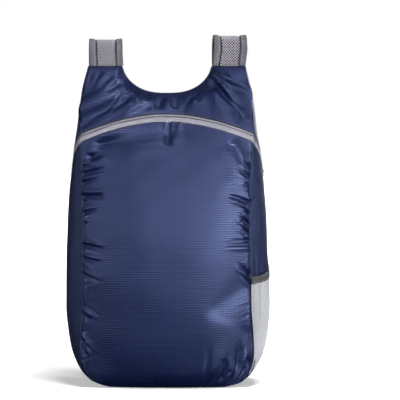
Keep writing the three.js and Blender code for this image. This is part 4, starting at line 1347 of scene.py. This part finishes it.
class BACKPACK_OT_zip(PieceOperator, bpy.types.Operator):
    """Set the zip's tapes and its slider"""

    bl_idname = "backpack.zip"
    bl_label = "Front zip"

    def build(self):
        shell, settings = self.shell, self.scene.bag_cloth
        form, trim = self.scene.bag_form, self.scene.bag_zip
        tape = zip_tape(trim, form)
        loops = loops_between(shell, -2, 2, settings, (False, False))
        gap = form.seam_gap / 2
        for name, near, far in (
            ("upper", gap, form.tape_above - gap),
            ("lower", -gap, gap - form.tape_below),
        ):
            shares = np.linspace(0, 1, 13)
            widths = mix(near, far, shares)
            z = np.stack([shell.across_zip(loops, width) for width in widths])
            grid = shell.trimmed(loops, z)
            welt = 0.0006 * np.sin(np.pi * np.clip(shares / 0.55, 0, 1)) - 0.0005 * ease((shares - 0.7) / 0.3)
            welt = welt - 0.0003
            outer = shell.surface(grid, z, np.broadcast_to(welt[:, None], z.shape))
            inner = shell.surface(grid, z, -form.cloth)
            place = np.stack(np.broadcast_arrays(running(spans(outer[0])), widths[:, None], 0.0), axis=-1)
            mesh = slab_mesh(f"zip_{name}", outer, inner, place)
            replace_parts(link(f"zip_{name}", mesh, tape), f"zip_tape_{name}")
        self.slider()

    def slider(self):
        """A bevelled body with a bridge, and a flat pull with a rounded hole."""
        shell, trim, form = self.shell, self.scene.bag_zip, self.scene.bag_form
        loops = SLIDER_LOOP + np.array([-0.04, 0, 0.04])
        behind, place, ahead = shell.surface(loops, shell.zip_height(loops))
        out = shell.outward(loops, shell.zip_height(loops))[1]
        along = unit(behind - ahead)
        side = unit(np.cross(along, out))
        square = np.cross(side, along)
        place = place + square * (2 * form.seam_gap)
        long, wide = trim.slider_length, trim.slider_width
        body = rounded_plate("body", long, wide, thickness=0.0019, corner=0.0022)
        nose = rounded_plate("nose", long * 0.6, wide * 0.62, thickness=0.0012, corner=0.0014)
        bridge = rounded_plate("bridge", long * 0.62, 0.0018, thickness=0.0013, corner=0.0008)
        pull = rounded_plate("pull", trim.pull_length, wide * 0.86, thickness=0.0012, corner=0.0024, holes=[
            (trim.pull_length * 0.36, 0, 0.0032, 0.0026),
            (-trim.pull_length * 0.22, 0, 0.008, 0.003)])

        def set_at(forward, up):
            origin = place + along * forward + square * up
            return basis(along, side, square, origin)

        mesh = joined("zip_pull_and_slider", [
            (body, set_at(0, 0.0012)),
            (nose, set_at(0.0012, 0.0024)),
            (bridge, set_at(0.0008, 0.0033)),
            (pull, set_at(-trim.pull_length * 0.5 - 0.0015, 0.0029)),
        ])
        metal = moulded("slider", trim.slider_colour, rough=0.3)
        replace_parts(link("zip_pull_and_slider", mesh, metal), "zip_slider")


class BACKPACK_OT_pocket(PieceOperator, bpy.types.Operator):
    """Knit the pocket net and gather its elastic edge"""

    bl_idname = "backpack.pocket"
    bl_label = "Side pocket"

    def stand_off(self, loop, z, share):
        """How far the pocket lies off the pressed-in side of the bag."""
        trim = self.scene.bag_pocket
        g = np.clip(loop - 1, 0, 1)
        swell = trim.net_swell * np.sin(np.pi * g) * np.sin(np.pi * np.clip(share, 0, 1))
        return self.scene.bag_form.seam_gap + self.shell.pocket_dent(loop, z) + swell

    def face(self, loop, share, lift):
        """A place on the pocket, at a loop coordinate and a share of its height."""
        z = mix(self.scene.bag_form.pocket_foot, self.shell.pocket_top(loop), share)
        out = self.shell.outward(loop, z)
        base = self.shell.smooth(loop, z) - out * self.shell.pocket_dent(loop, z)[..., None]
        wave = pocket_wave(loop) * ease((share - 0.35) / 0.65)
        return base + out * (self.stand_off(loop, z, share) + wave + lift)[..., None]

    def build(self):
        trim, form = self.scene.bag_pocket, self.scene.bag_form
        tall, cell = form.pocket_height, trim.net_cell
        start, end = POCKET_SPAN
        lines = []
        for line in diagonal_lines(NET_WIDTH, tall, cell, cell * 1.25, step=cell * 0.5):
            loop = start + line[:, 0] / NET_WIDTH * (end - start)
            lift = trim.net_thickness * 0.55 + trim.net_yarn * 0.45 * line[:, 2]
            lines.append(self.face(loop, line[:, 1] / tall, lift))
        around, up = np.linspace(start, end, 90), np.linspace(0, 1, 80)
        for loop, share in ((around, 0), (around, 1), (start, up), (end, up)):
            loop, share = np.broadcast_arrays(loop, share)
            lines.append(self.face(loop, share, trim.net_thickness * 0.55))
        net = yarn("pocket net", trim.net_colour, rough=0.62, spread=0.12)
        mesh = net_tree().make("pocket_mesh", lines, {"Yarn": trim.net_yarn, "Material": net})
        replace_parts(link("pocket_mesh", mesh, net), "pocket_net")
        self.elastic()

    def elastic(self):
        """The ribbed elastic edge over the net, gathered between its seams."""
        trim, form, shell = self.scene.bag_pocket, self.scene.bag_form, self.shell
        loops = np.linspace(*POCKET_SPAN, 620)
        shares = np.linspace(0, 1, 13)[:, None]
        top = shell.pocket_top(loops)
        z = top + form.seam_gap + trim.elastic_height * shares
        grid = np.broadcast_to(loops, z.shape)
        out, base = shell.outward(grid, z), shell.smooth(grid, z)
        away = self.stand_off(loops, top, np.ones_like(loops)) + trim.elastic_thickness
        away = away + pocket_wave(loops) - shell.pocket_dent(loops, top)
        along = (loops - loops[0]) / (loops[-1] - loops[0]) * 0.1
        ribs = 0.00022 * np.cos(2 * np.pi * along / trim.rib) * np.sin(np.pi * shares) ** 0.3
        edge = -0.0005 * (1 - np.sin(np.pi * shares) ** 0.4)
        outer = base + out * (away + ribs + edge)[..., None]
        inner = base + out * (away - trim.elastic_thickness)[:, None]
        place = np.stack(np.broadcast_arrays(along, shares * trim.elastic_height, 0.0), axis=-1)
        mesh = slab_mesh("pocket_edge", outer, inner, place)
        material = twill("elastic", trim.elastic_colour, trim.rib, slant=0.0, rough=0.8)
        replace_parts(link("pocket_edge", mesh, material), "pocket_elastic")


class BACKPACK_OT_straps(PieceOperator, bpy.types.Operator):
    """Make the padded straps with their spacer mesh, bindings, webbing and buckles"""

    bl_idname = "backpack.straps"
    bl_label = "Shoulder straps"

    def build(self):
        trim = self.scene.bag_strap
        self.pad = yarn("strap pad", trim.pad_colour, rough=0.85)
        self.mesh_yarn = yarn("spacer mesh", trim.mesh_colour, rough=0.6, spread=0.15)
        self.tape = binding_tape(trim)
        self.web = twill("webbing", trim.webbing_colour, pitch=0.0014, slant=0.5, rough=0.7, depth=0.0004)
        self.plastic = moulded("buckle", trim.buckle_colour)
        self.tree = net_tree()
        for name in SIDES:
            strap = Strap(self.shell, trim, self.scene.bag_buckle, name)
            self.padding(strap, name)
            self.bindings(strap, name)
            self.buckle_and_webbing(strap, name)

    def padding(self, strap, name):
        """The padded middle and the diamond mesh on both its faces."""
        trim, form = self.scene.bag_strap, self.scene.bag_form
        shares = np.linspace(0, 1, 220)
        inset = trim.binding + form.seam_gap
        outlines = np.array([
            soft_outline(inset - strap.half(share), strap.half(share) - inset, trim.thickness * 0.8)
            for share in shares])
        outlines[..., 1] += strap.curled(shares[:, None], outlines[..., 0])
        pad = sweep_mesh(f"strap_pad_{name}", strap.path, shares, outlines)
        piece = link(f"strap_pad_{name}", pad, self.pad)
        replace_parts(piece, f"strap_mesh_{name}")
        wide, run, cell = trim.width - 2 * inset, strap.path.length, trim.mesh_cell
        clear, margin = trim.root * 0.9, 0.0014
        for face, way in (("outer", -1), ("inner", 1)):
            lines = []
            for line in diagonal_lines(wide, run - clear, cell, cell * 0.92, step=0.0019):
                share = (line[:, 1] + clear) / run
                half = strap.half(share) - inset
                side = (line[:, 0] / wide - 0.5) * 2 * (half - margin)
                crown = 1 - np.abs(side / half) ** 5
                lift = way * (trim.thickness * 0.4 * crown ** 0.3 + trim.mesh_yarn * (0.4 + 0.4 * line[:, 2]))
                lines.append(strap.place(share, side, lift))
            mesh = self.tree.make(f"strap_net_{face}_{name}", lines,
                                  {"Yarn": trim.mesh_yarn, "Material": self.mesh_yarn})
            link(f"strap_net_{face}_{name}", mesh, self.mesh_yarn)

    def bindings(self, strap, name):
        """The folded tape on both edges of a strap."""
        trim, form = self.scene.bag_strap, self.scene.bag_form
        first = (trim.root + form.seam_gap) / strap.path.length
        shares = np.linspace(first, 1, 240)
        for edge, way in (("inner", -strap.way), ("outer", strap.way)):
            outlines, inside = [], []
            for share in shares:
                half = strap.half(share)
                inner = way * (half - trim.binding)
                outline = soft_outline(inner, way * half, trim.binding_thickness, count=24, square=3.6)
                stitched = bell((np.abs(outline[:, 0]) - strap.stitch_line(share)) / 0.0008)
                outline[:, 1] *= 1 - 0.16 * stitched
                outlines.append(outline)
                inside.append(np.abs(outline[:, 0]) - half + trim.binding)
            outlines = np.array(outlines)
            outlines[..., 1] += strap.curled(shares[:, None], outlines[..., 0])
            mesh = sweep_mesh(f"binding_{edge}_{name}", strap.path, shares, outlines, np.array(inside))
            piece = link(f"binding_{edge}_{name}", mesh, self.tape)
            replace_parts(piece, f"strap_binding_{edge}_{name}")

    def buckle_and_webbing(self, strap, name):
        """The moulded ladder buckle, and the webbing that runs round its bar."""
        trim, form, size = self.scene.bag_strap, self.scene.bag_form, self.scene.bag_buckle
        down = strap.path.along(1.0)
        out = unit(np.cross(down, ACROSS))
        if out[1] < 0:
            out = -out
        up = -down
        height = 2 * size.rim + size.bar + 2 * size.slot_height
        middle = strap.path.at(1.0) + down * (form.seam_gap + height / 2)
        slot_middle = (size.bar + size.slot_height) / 2
        plate = rounded_plate("plate", size.width, height, size.thickness, corner=0.003, holes=[
            (0, slot_middle, size.slot_width, size.slot_height),
            (0, -slot_middle, size.slot_width, size.slot_height)], bevel=0.0008)
        mesh = joined(f"buckle_{name}", [(plate, basis(ACROSS, up, np.cross(ACROSS, up), middle))])
        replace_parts(link(f"buckle_{name}", mesh, self.plastic), f"strap_buckle_{name}")

        lap = size.thickness / 2 + form.seam_gap + trim.webbing_thickness / 2

        def beside(lift, climb):
            return middle + out * lift + up * climb

        def lying(z):
            seam = abs(self.shell.smooth(2.0, z)[0])
            places = np.clip(np.abs(middle[0] + np.array([-0.5, 0, 0.5]) * trim.webbing) / seam, 0, 1)
            reach = self.shell.surface(3 - places, np.full(3, z))[:, 1].max()
            return np.array([middle[0], reach + form.seam_gap + trim.webbing_thickness / 2, z])

        inside = beside(-lap, -height * 0.6)
        top = lying(trim.anchor * 1.7)
        points = [lying(trim.anchor), lying(trim.anchor * 1.35), top]
        for share in (0.35, 0.7):
            points.append(mix(top, inside, share) + np.array([0, (1 - share) * share * lap, 0]))
        points += [inside, beside(-lap, -size.bar)]
        for turn in np.linspace(np.pi, 0, 9):
            points.append(beside(lap * math.cos(turn), size.bar / 3 + lap * math.sin(turn)))
        points += [beside(lap, -size.bar), beside(lap * 1.2, -height * 0.6)]
        points += [beside(lap * 2, -trim.tail * 0.7), beside(lap * 2.6, -trim.tail)]
        path = Path(centripetal(points, 10))
        shares = np.linspace(0, 1, 120)
        outline = soft_outline(-trim.webbing / 2, trim.webbing / 2, trim.webbing_thickness, count=20)
        outlines = np.array([outline] * len(shares))
        mesh = sweep_mesh(f"webbing_{name}", path, shares, outlines)
        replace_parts(link(f"webbing_{name}", mesh, self.web), f"strap_webbing_{name}")


class BACKPACK_OT_stitching(PieceOperator, bpy.types.Operator):
    """Set the rows of stitches along seams, hems, zip, pocket and bindings"""

    bl_idname = "backpack.stitching"
    bl_label = "Stitching"

    def build(self):
        cloth, strap, zip_trim = self.scene.bag_cloth, self.scene.bag_strap, self.scene.bag_zip
        self.tree = stitch_tree()
        blue = yarn("blue thread", cloth.thread_colour, rough=0.6)
        grey = yarn("grey thread", strap.binding_colour, rough=0.65)
        pale = yarn("tape thread", tuple(c * 0.35 for c in zip_trim.tape_colour), rough=0.65)
        self.sew("stitches_cloth", self.cloth_rows(), blue, "ripstop")
        self.sew("stitches_zip", self.zip_rows(), pale, "zip_tape")
        self.sew("stitches_pocket", self.pocket_rows(), grey, "elastic")
        for name in SIDES:
            self.sew(f"stitches_strap_{name}", self.strap_rows(name), grey, "binding")

    def sew(self, name, lines, material, slot):
        size = self.scene.bag_stitching
        mesh = self.tree.make(name, lines, {
            "Spacing": size.spacing, "Stitch": size.stitch, "Thread": size.thread, "Material": material})
        link(name, mesh, material)

    def cloth_rows(self):
        """Beside the front and back seams, along the neckline and across the tabs."""
        shell, form = self.shell, self.shell.form
        aside = form.stitch_aside / shell.front_span
        lift = self.scene.bag_stitching.thread * 0.5
        rows = []
        foot, zip_foot, hem = 0.006, float(shell.under_zip(np.array([1.0]))[0]), 0.0042
        for way in SIDES.values():
            seam = way * (1 - aside)
            rows.append(shell.surface(seam, np.linspace(foot, zip_foot - 0.003, 260), lift))
            rows.append(shell.surface(3 - seam, np.linspace(foot, form.height - 0.012, 300), lift))
        loops = np.linspace(-0.97, 0.97, 160)
        z = shell.top_height(loops) - hem
        rows.append(shell.surface(loops, z, lift))
        rows.append(shell.surface(3 - loops, z, lift))
        return rows

    def zip_rows(self):
        """On the cloth beside both edges of the tape."""
        shell, form = self.shell, self.shell.form
        loops = np.linspace(-1.97, 1.97, 700)
        lift = self.scene.bag_stitching.thread * 0.5
        widths = (form.tape_above + 0.0016, -form.tape_below - 0.0018)
        return [shell.surface(loops, shell.across_zip(loops, width), lift) for width in widths]

    def pocket_rows(self):
        """Along both edges of the elastic."""
        shell, form, trim = self.shell, self.shell.form, self.scene.bag_pocket
        loops = np.linspace(1.03, 1.97, 200)
        away = form.seam_gap + trim.elastic_thickness + pocket_wave(loops) + 0.0001
        rows = []
        for share in (0.2, 0.8):
            z = shell.pocket_top(loops) + form.seam_gap + trim.elastic_height * share
            rows.append(shell.smooth(loops, z) + shell.outward(loops, z) * away[:, None])
        return rows

    def strap_rows(self, name):
        """Along both bindings of a strap, on both faces."""
        trim = self.scene.bag_strap
        strap = Strap(self.shell, trim, self.scene.bag_buckle, name)
        shares = np.linspace((trim.root + 0.004) / strap.path.length, 0.995, 320)
        rows = []
        for way in (-1, 1):
            for face in (-1, 1):
                side = way * strap.stitch_line(shares)
                lift = np.full(shares.shape, face * trim.binding_thickness * 0.415)
                rows.append(strap.place(shares, side, lift))
        return rows


class BACKPACK_OT_studio(PieceOperator, bpy.types.Operator):
    """Set the floor, the soft lights and the camera"""

    bl_idname = "backpack.studio"
    bl_label = "Studio"

    def build(self):
        studio = self.scene.bag_studio
        mesh = bpy.data.meshes.new("floor")
        reach, start, step, count = 6.0, 0.07, 0.02, 22
        depths = [-reach] + [start + step * i for i in range(count)] + [reach]
        points = []
        for y in depths:
            behind = min(max(y - start, 0), step * (count - 1))
            rise = studio.sweep * behind ** 2 / (behind + 0.04)
            points += [(-reach, y, rise), (reach, y, rise)]
        faces = [(2 * i, 2 * i + 1, 2 * i + 3, 2 * i + 2) for i in range(len(depths) - 1)]
        mesh.from_pydata(points, [], faces)
        graph = Graph("floor")
        x, y, _ = graph.split(graph.object_place())
        # The floor glows, though it is no lamp: at the floor glow within 0.45 m of the middle, where the bag's
        # shadow falls, then brighter, past white from about 0.85 m.
        away = ((x * x + y * y) ** 0.5 - 0.45).clamped()
        glow = studio.floor_glow + away * (1 - studio.floor_glow) * 2.5
        feed(graph.tree, graph.shader.inputs["Emission Color"], graph.join(glow, glow, glow))
        graph.finish(shade(studio.floor_colour, 1.0), 0.9, Specular_IOR_Level=0.1, Emission_Strength=1.0)
        mesh.materials.append(graph.material)
        floor = bpy.data.objects.new("floor", mesh)
        self.scene.collection.objects.link(floor)
        floor.visible_diffuse = False
        floor.visible_glossy = False
        self.beside_floor = bpy.data.collections.new("lit by its own lamp alone")
        self.beside_floor.objects.link(floor)
        self.beside_floor.collection_objects[0].light_linking.link_state = "EXCLUDE"
        self.lights(studio)
        self.floor_lamp(studio, floor)
        self.sky(studio)
        self.camera(studio)

    def lamp(self, name, power, toward, distance, aim, receivers):
        """A lamp aimed at a place, with the collection that says what it lights."""
        light = bpy.data.lights.new(name, "AREA")
        light.energy = power
        lamp = bpy.data.objects.new(name, light)
        lamp.light_linking.receiver_collection = receivers
        lamp.location = Vector(aim) + distance * toward
        lamp.rotation_euler = toward.to_track_quat("Z", "Y").to_euler()
        self.scene.collection.objects.link(lamp)
        return light

    def lights(self, studio):
        """Narrow key and side lamps on the right for the cloth's sheen, a wide one in front, one overhead, a
        wide fill and a narrow rim on the left, and one behind. None of them lights the floor."""
        for name, (turn, rise, distance, wide, tall, beam, aim) in LAMPS.items():
            turn, rise = math.radians(turn), math.radians(rise)
            level = math.cos(rise)
            toward = Vector((math.sin(turn) * level, -math.cos(turn) * level, math.sin(rise)))
            light = self.lamp(name, getattr(studio, name), toward, distance, aim, self.beside_floor)
            light.shape = "RECTANGLE"
            light.size, light.size_y = wide, tall
            light.spread = math.pi if beam is None else studio.spread * beam

    def floor_lamp(self, studio, floor):
        """A soft lamp high on the right for the floor alone, so that the bag's shadow falls to the left."""
        lit = bpy.data.collections.new("lit by the floor lamp")
        lit.objects.link(floor)
        toward = Vector((0.16, -0.2, 1)).normalized()
        self.lamp("floor lamp", studio.floor_lamp, toward, 2.0, (0, 0, 0), lit).size = 0.7

    def sky(self, studio):
        """A dim sky, brighter upwards, that looks white to the camera."""
        world = bpy.data.worlds.new("studio")
        world.use_nodes = True
        tree = world.node_tree
        tree.nodes.clear()
        place = add_node(tree, "ShaderNodeTexCoord")
        split = add_node(tree, "ShaderNodeSeparateXYZ", inputs={0: place.outputs["Generated"]})
        grade = add_node(tree, "ShaderNodeMapRange", inputs={
            "Value": split.outputs["Z"], "From Min": -0.35, "From Max": 0.6,
            "To Min": 0.01, "To Max": studio.sky})
        dim = add_node(tree, "ShaderNodeBackground", inputs={
            "Color": (0.9, 0.93, 1.0, 1.0), "Strength": grade.outputs[0]})
        white = add_node(tree, "ShaderNodeBackground", inputs={"Color": (1, 1, 1, 1)})
        path = add_node(tree, "ShaderNodeLightPath")
        choose = add_node(tree, "ShaderNodeMixShader", inputs={
            0: path.outputs["Is Camera Ray"], 1: dim.outputs[0], 2: white.outputs[0]})
        add_node(tree, "ShaderNodeOutputWorld", inputs={"Surface": choose.outputs[0]})
        self.scene.world = world
        self.scene.view_settings.view_transform = "Standard"

    def camera(self, studio):
        """Straight on from the front, a little above level."""
        back = Vector((0, -math.cos(CAMERA_RISE), math.sin(CAMERA_RISE)))
        camera = bpy.data.objects.new("camera", bpy.data.cameras.new("camera"))
        camera.location = Vector(PICTURE_MIDDLE) + studio.distance * back
        camera.rotation_euler = (math.pi / 2 - CAMERA_RISE, 0, 0)
        camera.data.lens = camera.data.sensor_width * studio.distance / studio.picture
        camera.data.clip_end = 30
        self.scene.collection.objects.link(camera)
        self.scene.camera = camera


OPERATORS = (
    BACKPACK_OT_cloth,
    BACKPACK_OT_zip,
    BACKPACK_OT_pocket,
    BACKPACK_OT_straps,
    BACKPACK_OT_stitching,
    BACKPACK_OT_studio,
)


class BACKPACK_PT_panel(bpy.types.Panel):
    """The backpack's sizes, colours and pieces"""

    bl_idname = "BACKPACK_PT_panel"
    bl_label = "Packable backpack"
    bl_space_type = "VIEW_3D"
    bl_region_type = "UI"
    bl_category = "Backpack"

    def draw(self, context):
        for operator in OPERATORS:
            self.layout.operator(operator.bl_idname, text=operator.bl_label)
        for name, group in PROPERTY_GROUPS.items():
            box = self.layout.box()
            settings = getattr(context.scene, name)
            for field in group.__annotations__:
                box.prop(settings, field)


def register():
    for name, group in PROPERTY_GROUPS.items():
        bpy.utils.register_class(group)
        setattr(bpy.types.Scene, name, bpy.props.PointerProperty(type=group))
    for operator in OPERATORS:
        bpy.utils.register_class(operator)
    bpy.utils.register_class(BACKPACK_PT_panel)


def unregister():
    bpy.utils.unregister_class(BACKPACK_PT_panel)
    for operator in reversed(OPERATORS):
        bpy.utils.unregister_class(operator)
    for name, group in PROPERTY_GROUPS.items():
        delattr(bpy.types.Scene, name)
        bpy.utils.unregister_class(group)


def main():
    register()
    for operator in OPERATORS:
        group, name = operator.bl_idname.split(".")
        if getattr(getattr(bpy.ops, group), name)() != {"FINISHED"}:
            raise RuntimeError(f"{operator.bl_label} did not finish")


if __name__ == "__main__":
    main()
